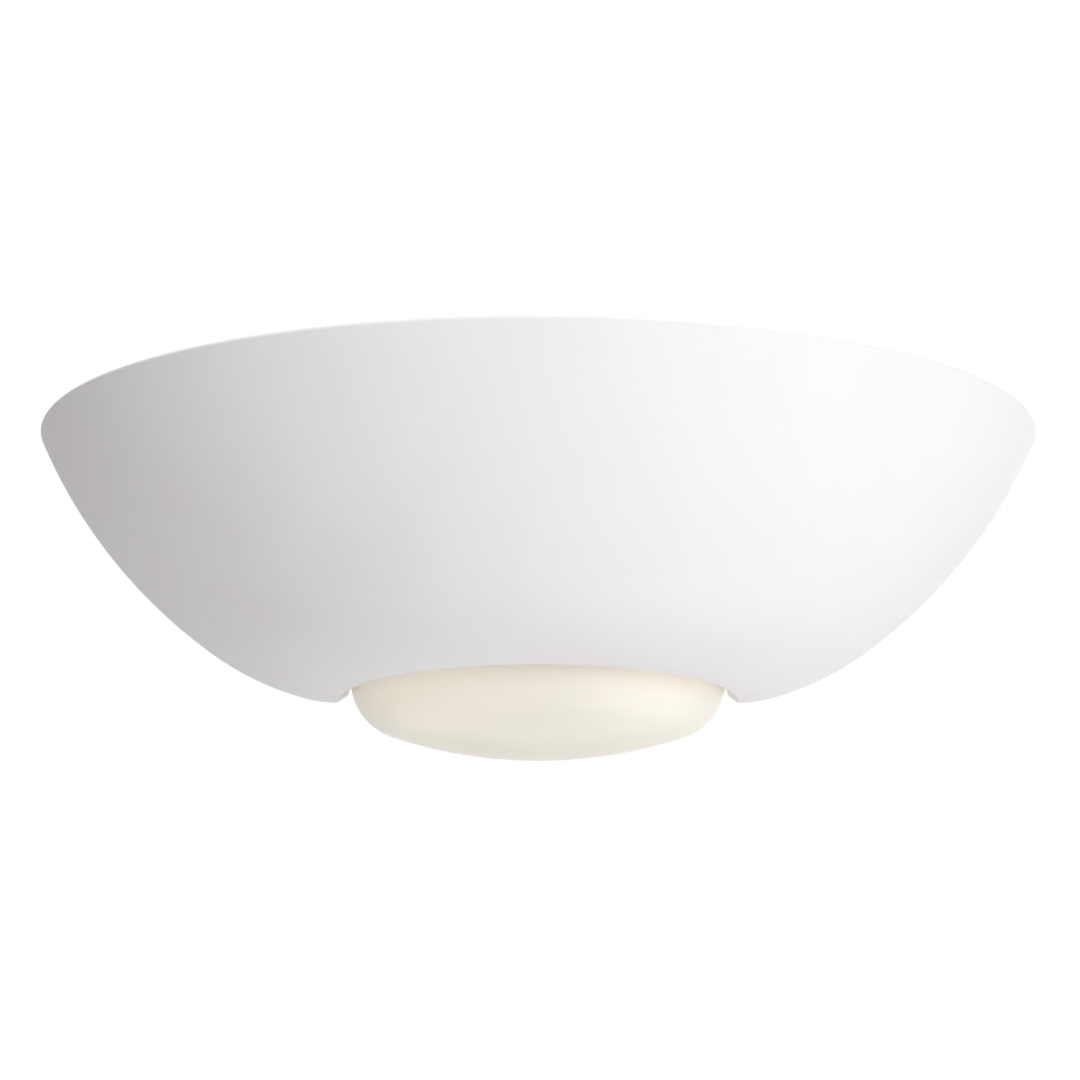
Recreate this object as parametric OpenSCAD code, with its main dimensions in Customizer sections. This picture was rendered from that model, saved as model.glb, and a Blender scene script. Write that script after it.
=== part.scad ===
// Wall uplighter: a half bowl of unglazed ceramic with a glass dish in its base. The bowl rests on
// a wall bracket and is held by two thumbscrews, and the bracket carries a lampholder, its lamp and
// the wiring. Millimetres. X is to the right, Y goes into the wall and Z is up. The origin is on the
// wall, midway between the two wall fixings.

/* [Bowl] */
// Width of the bowl along its rim, at the wall
shade_w = 360; // [350:1:390]
// Height of the bowl, from its rim to the underside of its lip
shade_h = 98.8; // [94:0.1:106]
// Height of the rim above the wall fixings
rim_rise = 38; // [36:1:44]
// Thickness of the ceramic wall
wall_t = 6; // [5:0.25:6.5]
// Lean of the wall away from upright at the rim, in degrees
rim_lean = 23; // [20:1:26]
// Lean of the wall away from upright where the lip starts, in degrees
lip_lean = 75; // [72:1:77]
// Share of the lower curve to the upper one
curve_share = 0.37; // [0.3:0.01:0.6]
// Radius of the rim's rounded edges
rim_round = 1.5; // [1:0.25:2]
// Radius of the curve under the lip
lip_curve_r = 41; // [30:1:50]
// Radius of the lip's lower edge
lip_round = 1.6; // [1:0.2:2]
// Height of the slanted face round the opening
lip_face_h = 2.8; // [2:0.1:3.4]
// Angle of the slanted face above level, in degrees
lip_face_a = 37; // [30:1:45]
// Radius of the opening in the base
opening_r = 68.2; // [62:0.1:71]
// Thickness of the lip under the glass
seat_t = 5.3; // [4.5:0.1:5.8]

/* [Glass dish] */
// Thickness of the glass
glass_t = 3; // [2.5:0.25:4]
// Gap round the dish inside the opening
dish_gap = 0.7; // [0.5:0.1:1.5]
// Width of the flange that rests on the lip
flange_w = 9; // [7:0.5:10]
// Depth of the dish below the lip
dish_drop = 21.4; // [16:0.2:26]
// Radius of the dish's lower corner
dish_corner_r = 22.4; // [16:0.2:26]
// Radius of the dish's shallow crown
dish_crown_r = 165; // [130:1:220]
// Gap round the flange inside its rebate
rebate_gap = 1.5; // [1:0.1:2]
// Thickness of the seal between the flange and the lip
seal_t = 0.8; // [0.5:0.1:1.2]
// Width of the seal
seal_w = 6; // [4:0.5:7]
// Distance of the cut edge of the glass from the wall
dish_back = 1.5; // [1:0.25:4]

/* [Lugs and thumbscrews] */
// Depth of the lugs' top faces below the rim
lug_drop = 42; // [38:1:44]
// Height of the lugs
lug_h = 10; // [8:0.5:12]
// Ceramic left round each screw, in plan
lug_margin = 12; // [11:0.5:14]
// Distance of the lugs from the wall
lug_back = 3; // [2.5:0.25:4]
// Width of the open slot in each lug
lug_slot_w = 5.5; // [5:0.25:6.5]
// Distance of each thumbscrew in from the bowl's inner face
screw_in = 13; // [12:0.5:20]
// Distance of the thumbscrews from the wall
screw_out = 20; // [18:1:24]
// Diameter of the thumbscrew's shank
screw_d = 3.9; // [3.4:0.1:4.2]
// Running gap round the shank in its nut
thread_gap = 0.07; // [0.03:0.01:0.1]
// Diameter of the knurled knob
knob_d = 14; // [12:0.5:16]
// Height of the knurled knob
knob_h = 6; // [5:0.5:8]
// Height of the plain collar under the knob
knob_collar_h = 3; // [2:0.5:4]
// Grooves round the knob
knob_grooves = 20; // [16:1:26]
// Thickness of the captive washer
lug_washer_t = 1; // [0.8:0.1:1.4]
// Diameter of the captive washer
lug_washer_d = 11; // [9:0.5:12]
// Thickness of the pads that the lugs rest on
pad_t = 0.8; // [0.5:0.1:1.2]
// Diameter of the nuts under the tabs
nut_d = 8; // [7:0.5:9]
// Height of the nuts under the tabs
nut_h = 3.2; // [3:0.2:4]

/* [Wall bracket] */
// Thickness of the bracket's steel
plate_t = 1.5; // [1.2:0.1:2]
// Width of the middle of the plate
plate_w = 152; // [148:1:160]
// Distance between the wall fixings
fixing_spacing = 120; // [116:1:124]
// Length of each fixing slot
fixing_slot_l = 12; // [10:0.5:14]
// Width of each fixing slot
fixing_slot_w = 5.2; // [4.6:0.1:5.6]
// Width of the tabs under the lugs
tab_w = 16; // [14:0.5:17]
// Length of the tabs, out from the wall
tab_l = 32; // [30:1:34]
// Radius of the plate's corners
plate_corner_r = 5; // [2:0.5:7]

/* [Terminal cover] */
// Width of the cover
cover_w = 76; // [74:1:80]
// Height of the cover
cover_h = 52; // [52:0.5:56]
// Depth of the cover
cover_d = 26; // [23:0.5:28]
// Thickness of the cover's walls
cover_t = 1.5; // [1.2:0.1:2]
// Radius of the cover's corners
cover_corner_r = 4; // [3:0.5:6]
// Radius of each ear's round end
ear_r = 5; // [4:0.5:5.5]
// Height of the cable entry above the wall fixings
entry_rise = 12; // [12:0.25:12.5]
// Radius of the cable entry
entry_r = 4.5; // [3.5:0.1:5]
// Radius of the grommet's flange
grommet_flange_r = 11; // [10.5:0.1:11.2]

/* [Lampholder] */
// Distance of the lampholder's arm in from the left thumbscrew
arm_in = 25.6; // [23.6:0.1:29.6]
// Width of the arm
arm_w = 24; // [22:1:26]
// Distance of the lamp's axis from the wall
lamp_out = 72; // [70:1:76]
// Depth of the lamp's axis below the rim
lamp_drop = 35; // [34:0.5:37]
// Radius of the threaded nipple
nipple_r = 4.9; // [4.5:0.1:5]
// Radius of the nipple's bore
nipple_bore_r = 3.6; // [3.2:0.1:3.8]
// Width across the flats of the nipple's nut
nipple_nut_w = 14; // [13:0.5:16]
// Radius of the lampholder's barrel
holder_r = 19.8; // [19.5:0.1:21]
// Thickness of the lampholder's walls
holder_t = 2.2; // [1.8:0.1:2.4]
// Length of the lampholder's cap
cap_l = 24; // [24:0.5:26]
// Length of the lampholder's barrel
barrel_l = 38; // [38:0.5:40]
// Length of the screwed shell inside the barrel
shell_l = 28; // [27:0.5:28.5]

/* [Lamp] */
// Radius of the globe
globe_r = 30; // [28:0.5:30]
// Length of the lamp from its contact to the top of the globe
lamp_l = 105; // [104:0.5:110]
// Length of the lamp's metal cap
lamp_cap_l = 26; // [25:0.5:27]
// Mean radius of the lamp cap's thread
thread_r = 12.66; // [12.6:0.01:12.7]
// Half the height of the thread's wave
thread_wave = 0.54; // [0.45:0.01:0.6]
// Pitch of the thread
thread_pitch = 3.629; // [3.4:0.01:3.7]
// Gap between the lamp's cap and the holder's screwed shell
shell_gap = 0.22; // [0.15:0.01:0.3]
// Light-emitting chips on the board
chips = 10; // [6:1:14]
// Width of the driver's board inside the collar
driver_w = 18; // [16:0.5:19]

/* [Wiring] */
// Radius of an insulated lead
lead_r = 1.05; // [0.9:0.05:1.1]
// Distance between terminals on the block
way_pitch = 10; // [9.5:0.5:10.5]
// Height of the terminal block
block_h = 17; // [16:0.5:18]
// Depth of the terminal block
block_d = 14; // [13:0.5:15]

/* [Hidden] */
$fn = 72;
eps = 0.01;
snug = 0.05; // gap between fixed pieces that fit into each other

// Outward and downhill directions, in the section's plane, where the wall leans by a degrees.
function out(a) = [cos(a), -sin(a)];
function down(a) = [-sin(a), -cos(a)];

// The section of the bowl is drawn with its height counted from the rim. Its wall is two curves
// that meet smoothly, and a third one under the lip.
rim_edge = [shade_w/2 - rim_round, -rim_round];
face_lean = 90 + lip_face_a;
face_l = (lip_face_h - lip_round*(1 - sin(face_lean)))/-cos(face_lean);
lip_edge = [opening_r + face_l*sin(face_lean) - lip_round*cos(face_lean), lip_round - shade_h];
lip_c = [lip_edge.x, lip_curve_r - shade_h];
curve_start = rim_edge + rim_round*out(rim_lean);
curve_end = lip_c + lip_curve_r*out(lip_lean);
chord = curve_end - curve_start;
turn_a = 2*curve_share*(down(rim_lean)*down(lip_lean) - 1);
turn_b = 2*(chord*down(rim_lean) + curve_share*(chord*down(lip_lean)));
reach_1 = (turn_b - sqrt(turn_b*turn_b - 4*turn_a*(chord*chord)))/(2*turn_a);
reach_2 = curve_share*reach_1;
curve_join = (reach_2*(curve_start + reach_1*down(rim_lean))
    + reach_1*(curve_end - reach_2*down(lip_lean)))/(reach_1 + reach_2);
function arc_radius(from, to, a) = -((to - from)*(to - from))/(2*(out(a)*(to - from)));
upper_r = arc_radius(curve_start, curve_join, rim_lean);
lower_r = arc_radius(curve_end, curve_join, lip_lean);
upper_c = curve_start - upper_r*out(rim_lean);
lower_c = curve_end - lower_r*out(lip_lean);
join_lean = atan2(upper_c.y - curve_join.y, curve_join.x - upper_c.x);
inner_lean = asin((upper_c.y + rim_round)/(upper_r - wall_t + rim_round));
inner_edge = upper_c + (upper_r - wall_t + rim_round)*out(inner_lean);

// Radius of a surface that lies a depth inside the bowl's outer face, at a height below the rim.
function bowl_r(drop, depth) = upper_c.x + sqrt(pow(upper_r - depth, 2) - pow(drop + upper_c.y, 2));

// Glass dish, its height also counted from the rim.
dish_r = opening_r - dish_gap;
flange_r = dish_r + flange_w;
rebate_r = flange_r + rebate_gap;
seat_z = seat_t - shade_h;
flange_z = seat_z + seal_t;
dish_z = -shade_h - dish_drop;
crown_half = asin((dish_r - dish_corner_r)/(dish_crown_r - dish_corner_r));
crown_c = [0, dish_z + dish_crown_r];
corner_c = crown_c + (dish_crown_r - dish_corner_r)*out(90 - crown_half);

// Lugs, tabs and thumbscrews, in the part's own frame from here on.
lug_top = rim_rise - lug_drop;
lug_z = lug_top - lug_h;
tab_top = lug_z - pad_t;
tab_z = tab_top - plate_t;
screw_x = bowl_r(rim_rise - tab_z, wall_t) - screw_in;
knob_z = lug_top + lug_washer_t;
screw_tip = tab_z - nut_h - 2;
groove_r = 0.7; // radius of a knob's groove
knob_clear = 4.1; // gap between the left knob and the leads that loop past it
arm_reach = screw_x - arm_in;
holder_x = -arm_reach;

// Wall plate.
lamp_z = rim_rise - lamp_drop;
cover_z = -1; // height of the cover's middle
arm_band_top = lamp_z + arm_w/2 + 1;
plate_rim = 2; // plate that shows round the cover
ear_x = cover_w/2 + ear_r + 0.5;
cover_screw_r = 1.7;
cover_head_r = 3.3;
cover_head_h = 2;
notch_h = 8.4; // height of the leads' notch in the cover's side
notch_mid = cover_z - 20;
earth_x = 28;
earth_z = -6;
earth_r = 1.95;
earth_washer_t = 0.8;
ring_t = 0.8;
foot_l = 18; // length of the arm's foot along the plate
rivet_x = holder_x + foot_l/2 + 1;
rivet_gap = 12;
rivet_r = 1.6;
grommet_hole_r = 9;

// Terminal block.
ways = 3;
block_x = -2;
block_z = -8.5;
block_w = ways*way_pitch;
block_mid = plate_t + block_d/2;
block_screw_x = block_x + way_pitch/2;
block_screw_r = 1.45;
way_bore_r = 1.5;
way_tube_r = 2.6;
way_screw_r = 1.3;
way_screw_gap = 7;
function way_x(i) = block_x + (i - (ways - 1)/2)*way_pitch;

// Lampholder, along the lamp's own axis, counted from the arm's face.
hole_gap = 0.15; // gap round a piece in a clearance hole
lock_t = 0.8; // thickness of the toothed lock washer
hub_r = 8.5;
hub_h = 6;
nipple_back = 6.5; // length of nipple behind the arm's face
nipple_l = 17;
nipple_nut_h = 3;
lead_hole_out = 20; // distance of the lead's hole from the wall
lead_hole_r = 5;
core_z = lock_t + cap_l + 1.2;
core_h = 7;
boss_h = 2;
shell_r = thread_r + shell_gap;
shell_t = 0.5;
shell_z = core_z + core_h;
holder_end = lock_t + cap_l - 0.8 + barrel_l;
spigot_l = 6;
spigot_r = holder_r - holder_t - snug;
core_r = spigot_r - 2;
barrel_z = lock_t + cap_l;
terminal_x = 8; // distance of the holder's terminals from its axis
terminal_w = 6;
tongue_t = 0.5;
contact_z = shell_z + boss_h + 1.5;

// Lamp, along the same axis.
contact_h = 1.1;
insulator_h = 5.4;
cap_z = contact_z + contact_h + 2.4;
cap_thread_l = lamp_cap_l - 6;
cap_top = cap_z + lamp_cap_l;
cap_t = 0.6;
collar_z = cap_top - 2;
globe_c = contact_z + lamp_l - globe_r;
globe_t = 1.4;
globe_neck_r = globe_r - 1.5;
globe_z = globe_c - sqrt(pow(globe_r, 2) - pow(globe_neck_r, 2));
collar_t = 1.9;
board_t = 1.6;
board_z = globe_z - 3.4;
board_r = globe_neck_r - collar_t - 0.3;
collar_l = globe_z - collar_z;

// Routes of the leads. Each list is chosen by hand, from what the lead runs past.
lead_split = 1.4; // half the distance between two leads that run side by side
notch_x = -cover_w/2;
loop_x = holder_x - arm_in + knob_d/2 + knob_clear;
lead_run = [
    [notch_x + 15, -8, notch_mid - 2], [notch_x + 4, -7, notch_mid - 1],
    [notch_x - 9, -6, notch_mid + 1], [(notch_x + holder_x)/2 + 5, -6, notch_mid + 6],
    [holder_x + 20, -9, lamp_z - 11], [holder_x + 10, -15, lamp_z - 4],
    [holder_x + 4, -lead_hole_out, lamp_z], [holder_x - 4, -lead_hole_out - 0.5, lamp_z],
    [loop_x + 3.5, -lead_hole_out - 6, lamp_z], [loop_x + 0.5, -lead_hole_out - 16, lamp_z],
    [loop_x, -lamp_out + 22, lamp_z], [loop_x + 0.5, -lamp_out + 10, lamp_z],
    [loop_x + 3.5, -lamp_out + 3, lamp_z], [holder_x - 7, -lamp_out, lamp_z],
    [holder_x + 2, -lamp_out, lamp_z], [holder_x + 9, -lamp_out, lamp_z]
];
block_foot = block_z - block_h/2;
live_start = [
    [way_x(0), -block_mid, block_foot + 4], [way_x(0), -block_mid, block_foot],
    [way_x(0) - 1, -block_mid, block_foot - 2.5], [way_x(0) - 5, -block_mid, block_foot - 4.5]
];
neutral_start = [
    [way_x(1), -block_mid, block_foot + 4], [way_x(1), -block_mid, block_foot],
    [way_x(1) - 1.5, -block_mid, block_foot - 4], [way_x(1) - 6, -block_mid, block_foot - 6.8]
];
function holder_end_of(side) = [
    [holder_x + 14.5, -lamp_out, lamp_z + side*4.2], [holder_x + 17, -lamp_out, lamp_z + side*7.4],
    [holder_x + 19.5, -lamp_out, lamp_z + side*terminal_x],
    [holder_x + 24, -lamp_out, lamp_z + side*terminal_x]
];
function shifted(points, dz) = [for (p = points) p + [0, 0, dz]];
live_route = concat(live_start, shifted(lead_run, lead_split), holder_end_of(1));
neutral_route = concat(neutral_start, shifted(lead_run, -lead_split), holder_end_of(-1));
earth_barrel = earth_z - 12; // height of the ring terminal's barrel
earth_out = plate_t + 2.1; // distance of the barrel from the wall
earth_route = [
    [way_x(2), -block_mid, block_foot + 4], [way_x(2), -block_mid, block_foot],
    [way_x(2) + 1.5, -block_mid, block_foot - 3.5], [way_x(2) + 7, -7, block_foot - 5.5],
    [earth_x - 8, -6, block_foot - 6.5], [earth_x - 2.5, -earth_out - 1, block_foot - 5],
    [earth_x, -earth_out, earth_barrel - 0.5], [earth_x, -earth_out, earth_barrel + 2],
    [earth_x, -earth_out, earth_barrel + 3.5]
];

// ---------------------------------------------------------------- shared shapes

// A slice of a disc between two leans.
module pie(c, r, a, b) {
    intersection() {
        translate(c) circle(r = r);
        polygon([c, c + 2*r*out(a), c + 2*r*out((a + b)/2), c + 2*r*out(b)]);
    }
}

// A slice of a ring between two leans.
module band(c, r_in, r_out, a, b) {
    difference() {
        pie(c, r_out, a, b);
        translate(c) circle(r = r_in);
    }
}

// Half a revolution of a section, on the room's side of the wall.
module half_turn() {
    rotate([0, 0, 180]) rotate_extrude(angle = 180) children();
}

// A rectangle with round corners, centred.
module rounded(w, h, r) {
    polygon([
        [-w/2 + r, -h/2], [w/2 - r, -h/2], [w/2 - r, -h/2 + r], [w/2, -h/2 + r], [w/2, h/2 - r],
        [w/2 - r, h/2 - r], [w/2 - r, h/2], [-w/2 + r, h/2], [-w/2 + r, h/2 - r],
        [-w/2, h/2 - r], [-w/2, -h/2 + r], [-w/2 + r, -h/2 + r]
    ]);
    for (i = [0:3]) let (sx = i < 2 ? 1 : -1, sy = i % 2 == 0 ? 1 : -1)
        scale_pie([sx*(w/2 - r), sy*(h/2 - r)], r, sx, sy);
}

// The quarter of a disc that points to one corner.
module scale_pie(c, r, sx, sy) {
    middle = atan2(-sy, sx);
    pie(c, r, middle - 45, middle + 45);
}

// A straight slot with round ends, along X.
module slot(l, w) {
    square([l - w, w], center = true);
    pie([(l - w)/2, 0], w/2, -90, 90);
    pie([(w - l)/2, 0], w/2, 90, 270);
}

// A flat piece drawn in the wall's plane, from one distance off the wall outwards.
module on_wall(off, t) {
    translate([0, -off, 0]) rotate([90, 0, 0]) linear_extrude(t) children();
}

// Pieces that are drawn along the lamp's axis, from the arm's face.
module on_lamp_axis() {
    translate([-arm_reach, -lamp_out, lamp_z]) rotate([0, 90, 0]) children();
}

module tube(r_out, r_in, z, h) {
    translate([0, 0, z]) difference() {
        cylinder(r = r_out, h = h);
        translate([0, 0, -eps]) cylinder(r = r_in, h = h + 2*eps);
    }
}

// A screw with a round slotted head. Its head's seat is at height 0, and its shank points down.
module slotted_screw(head_r, head_h, shank_r, shank_l) {
    difference() {
        cylinder(r = head_r, h = head_h);
        translate([-head_r - eps, -head_r/8, head_h*0.55])
            cube([2*head_r + 2*eps, head_r/4, head_h]);
    }
    translate([0, 0, -shank_l]) cylinder(r = shank_r, h = shank_l + eps);
}

// A smooth curve through hand-chosen points.
function unit(v) = v/norm(v);
function spline_point(p, i, t) = let (
        a = p[max(i - 1, 0)], b = p[i], c = p[i + 1], d = p[min(i + 2, len(p) - 1)])
    0.5*(2*b + (c - a)*t + (2*a - 5*b + 4*c - d)*t*t + (3*b - a - 3*c + d)*t*t*t);
function spline(p, step) = concat(
    [for (i = [0:len(p) - 2])
        let (n = max(1, round(norm(p[i + 1] - p[i])/step)))
        for (k = [0:n - 1]) spline_point(p, i, k/n)],
    [p[len(p) - 1]]);
function square_to(t, n) = unit(n - (n*t)*t);
function carried(ts, i, list) =
    i == len(ts) ? list : carried(ts, i + 1, concat(list, [square_to(ts[i], list[i - 1])]));

// A round lead along a route, with eight sides.
module lead(route) {
    sides = 8;
    path = spline(route, 5);
    n = len(path);
    ts = [for (i = [0:n - 1]) unit(path[min(i + 1, n - 1)] - path[max(i - 1, 0)])];
    ns = carried(ts, 1, [square_to(ts[0], [0.2, 1, 0.1])]);
    points = [for (i = [0:n - 1], k = [0:sides - 1])
        let (a = 360*k/sides) path[i] + lead_r*(cos(a)*ns[i] + sin(a)*cross(ts[i], ns[i]))];
    walls = [for (i = [0:n - 2], k = [0:sides - 1])
        let (a = i*sides + k, b = i*sides + (k + 1) % sides, up = sides)
        each [[a, a + up, b], [b, a + up, b + up]]];
    polyhedron(points, concat(walls, [
        [for (k = [0:sides - 1]) k], [for (k = [sides - 1:-1:0]) (n - 1)*sides + k]
    ]));
}

// A thin tube whose wall waves round in a right-hand screw thread. Each stop is a height, the
// mean radius of its outer face and the wave's half height there.
module threaded_tube(stops, t) {
    sides = 24;
    n = len(stops);
    function ring(s, r) = [for (k = [0:sides - 1])
        let (a = 360*k/sides, turn = 360*s[0]/thread_pitch)
        [r*cos(a) + s[2]*cos(turn), r*sin(a) + s[2]*sin(turn), s[0]]];
    points = concat([for (s = stops) each ring(s, s[1])], [for (s = stops) each ring(s, s[1] - t)]);
    inner = n*sides;
    walls = [for (i = [0:n - 2], k = [0:sides - 1])
        let (a = i*sides + k, b = i*sides + (k + 1) % sides, up = sides)
        each [[a, a + up, b], [b, a + up, b + up],
            [inner + a, inner + b, inner + a + up], [inner + b, inner + b + up, inner + a + up]]];
    ends = [for (k = [0:sides - 1])
        let (j = (k + 1) % sides, top = (n - 1)*sides)
        each [[k, j, inner + k], [j, inner + j, inner + k],
            [top + k, inner + top + k, top + j], [top + j, inner + top + k, inner + top + j]]];
    polyhedron(points, concat(walls, ends));
}

// Stops of a thread that fades in and out, with ten to a turn. The wall swells (1) or shrinks (-1)
// by the wave's height where the thread has faded.
function thread_stops(from, to, r, swell) = let (n = round((to - from)*10/thread_pitch))
    [for (i = [0:n]) let (z = from + (to - from)*i/n, fade = min(1, (z - from)/2, (to - z)/2))
        [z, r + swell*thread_wave*(1 - fade), thread_wave*fade]];

// ---------------------------------------------------------------- bowl and glass

module bowl_section() {
    band(upper_c, upper_r - wall_t, upper_r, inner_lean, join_lean);
    band(lower_c, lower_r - wall_t, lower_r, join_lean, lip_lean);
    band(lip_c, lip_curve_r - wall_t, lip_curve_r, lip_lean, 90);
    // Rim: a level top between two round edges.
    polygon([
        inner_edge, upper_c + upper_r*out(inner_lean), curve_start, rim_edge,
        [rim_edge.x, 0], [inner_edge.x, 0]
    ]);
    pie(rim_edge, rim_round, -90, rim_lean);
    pie(inner_edge, rim_round, inner_lean - 180, -90);
    // Lip: a round lower edge and a slanted face up to the opening.
    face_start = lip_edge + lip_round*out(face_lean);
    polygon([
        [lip_edge.x, wall_t - shade_h], lip_edge, face_start,
        face_start + face_l*down(face_lean), [opening_r, wall_t - shade_h]
    ]);
    pie(lip_edge, lip_round, 90, face_lean);
}

module lug(side) {
    x_in = screw_x - lug_margin;
    y_out = -screw_out - lug_margin;
    cut = 5;
    intersection() {
        translate([0, 0, lug_z]) linear_extrude(lug_h) polygon([
            [side*x_in, -lug_back], [side*shade_w/2, -lug_back], [side*shade_w/2, y_out],
            [side*(x_in + cut), y_out], [side*x_in, y_out + cut]
        ]);
        translate([0, 0, lug_z - eps]) cylinder(
            h = lug_h + 2*eps,
            r1 = bowl_r(lug_drop + lug_h, wall_t/2),
            r2 = bowl_r(lug_drop, wall_t/2)
        );
    }
}

module lug_slot(side) {
    translate([side*screw_x, 0, lug_z - 1]) linear_extrude(lug_h + 2) {
        translate([-lug_slot_w/2, -screw_out]) square([lug_slot_w, screw_out]);
        pie([0, -screw_out], lug_slot_w/2, 0, 180);
    }
}

module shade() {
    color("#f3f2f1") difference() {
        union() {
            translate([0, 0, rim_rise]) half_turn() difference() {
                bowl_section();
                translate([opening_r - 1, seat_z]) square([rebate_r - opening_r + 1, wall_t]);
            }
            for (side = [-1, 1]) lug(side);
        }
        for (side = [-1, 1]) lug_slot(side);
    }
}

// Cuts the back off a half revolution, a little in front of the wall.
module clear_of_wall(gap) {
    difference() {
        children();
        translate([-shade_w/2, -gap, -shade_h - dish_drop]) cube([shade_w, 2*gap, 2*shade_h]);
    }
}

module diffuser_seal() {
    color("#e9e9e6") clear_of_wall(dish_back) translate([0, 0, rim_rise + seat_z])
        half_turn() translate([flange_r - seal_w, 0]) square([seal_w, seal_t]);
}

module dish_section() {
    neck_x = dish_r - glass_t/2;
    top = flange_z + glass_t;
    band(crown_c, dish_crown_r - glass_t, dish_crown_r, 90 - crown_half, 90);
    band(corner_c, dish_corner_r - glass_t, dish_corner_r, 0, 90 - crown_half);
    translate([dish_r - glass_t, corner_c.y]) square([glass_t/2, top - corner_c.y]);
    translate([neck_x, flange_z]) square([flange_r - neck_x, glass_t]);
}

module glass_diffuser() {
    color("#f6efdf") clear_of_wall(dish_back) translate([0, 0, rim_rise])
        half_turn() dish_section();
}

// ---------------------------------------------------------------- thumbscrews

module thumbscrew(side) {
    color("#c9cbcd") translate([side*screw_x, -screw_out, 0]) {
        translate([0, 0, screw_tip]) cylinder(d = screw_d, h = knob_z - screw_tip + eps);
        translate([0, 0, knob_z]) cylinder(d = knob_d*0.65, h = knob_collar_h);
        translate([0, 0, knob_z + knob_collar_h]) difference() {
            cylinder(d = knob_d, h = knob_h);
            for (i = [0:knob_grooves - 1]) rotate([0, 0, i*360/knob_grooves])
                translate([knob_d/2 + groove_r/3, 0, -1]) cylinder(r = groove_r, h = knob_h + 2);
        }
    }
}

module thumbscrew_washer(side) {
    color("#b9bcbf") translate([side*screw_x, -screw_out, 0])
        tube(lug_washer_d/2, screw_d/2 + hole_gap, lug_top, lug_washer_t);
}

module tab_nuts() {
    color("#c2c5c8") for (side = [-1, 1]) translate([side*screw_x, -screw_out, 0]) {
        bore = screw_d/2 + thread_gap;
        difference() {
            union() {
                translate([0, 0, tab_z - nut_h]) cylinder(d = nut_d, h = nut_h);
                translate([0, 0, tab_z - eps]) cylinder(d = nut_d - 2, h = plate_t + eps);
            }
            translate([0, 0, tab_z - nut_h - 1]) cylinder(r = bore, h = nut_h + plate_t + 2);
        }
    }
}

module lug_pads() {
    color("#d8d8d6") for (side = [-1, 1]) translate([side*screw_x, 0, tab_top])
        linear_extrude(pad_t) difference() {
            translate([0, -(tab_l + lug_back)/2])
                square([tab_w - 2, tab_l - lug_back - 2], center = true);
            translate([0, -screw_out]) circle(d = nut_d - 1);
        }
}

// ---------------------------------------------------------------- wall bracket

module wall_bracket() {
    reach = screw_x + tab_w/2;
    band_h = arm_band_top - tab_z;
    color("#eceae6") {
        on_wall(0, plate_t) difference() {
            union() {
                translate([0, cover_z]) rounded(plate_w, cover_h + 2*plate_rim, plate_corner_r);
                translate([0, (arm_band_top + tab_z)/2]) rounded(2*reach, band_h, 1);
            }
            for (side = [-1, 1]) {
                translate([side*fixing_spacing/2, 0]) slot(fixing_slot_l, fixing_slot_w);
                translate([side*ear_x, cover_z]) circle(r = cover_screw_r + snug);
                translate([rivet_x, lamp_z + side*rivet_gap/2]) circle(r = rivet_r + snug);
            }
            translate([0, entry_rise]) circle(r = grommet_hole_r);
            translate([earth_x, earth_z]) circle(r = earth_r + snug);
            translate([block_screw_x, block_z]) circle(r = block_screw_r + snug);
        }
        // Tabs under the lugs.
        for (side = [-1, 1]) translate([side*screw_x, -tab_l/2, tab_z])
            linear_extrude(plate_t) difference() {
                union() {
                    translate([0, plate_corner_r]) square([tab_w, tab_l - 2*plate_corner_r], center = true);
                    rounded(tab_w, tab_l, plate_corner_r);
                }
                translate([0, tab_l/2 - screw_out]) circle(d = nut_d - 2 + 2*snug);
            }
    }
}

module lampholder_arm() {
    color("#e6e4e0") {
        translate([-arm_reach - plate_t, 0, lamp_z]) rotate([90, 0, 90]) linear_extrude(plate_t)
            difference() {
                union() {
                    translate([-lamp_out, -arm_w/2]) square([lamp_out - plate_t, arm_w]);
                    translate([-lamp_out, 0]) rotate([0, 0, 180]) pie([0, 0], arm_w/2, -90, 90);
                }
                translate([-lamp_out, 0]) circle(r = nipple_r + hole_gap);
                translate([-lead_hole_out, 0]) circle(r = lead_hole_r);
            }
        on_wall(plate_t, plate_t) difference() {
            translate([-arm_reach - plate_t/2, lamp_z - arm_w/2]) square([foot_l, arm_w]);
            for (side = [-1, 1]) translate([rivet_x, lamp_z + side*rivet_gap/2])
                circle(r = rivet_r + snug);
        }
    }
}

module arm_rivets() {
    head_h = 1.2;
    color("#b4b7ba") for (side = [-1, 1])
        translate([rivet_x, -2*plate_t, lamp_z + side*rivet_gap/2]) rotate([90, 0, 0]) {
            cylinder(r1 = 3.2, r2 = 2.2, h = head_h);
            translate([0, 0, -2*plate_t + 0.2]) cylinder(r = rivet_r, h = 2*plate_t);
        }
}

// ---------------------------------------------------------------- terminals and cover

module cable_grommet() {
    color("#4a4a48") translate([0, 0, entry_rise]) rotate([90, 0, 0]) difference() {
        union() {
            cylinder(r = grommet_hole_r - snug, h = plate_t + eps);
            translate([0, 0, plate_t]) cylinder(r = grommet_flange_r, h = 2);
        }
        translate([0, 0, -1]) cylinder(r = entry_r, h = plate_t + 4);
    }
}

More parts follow.
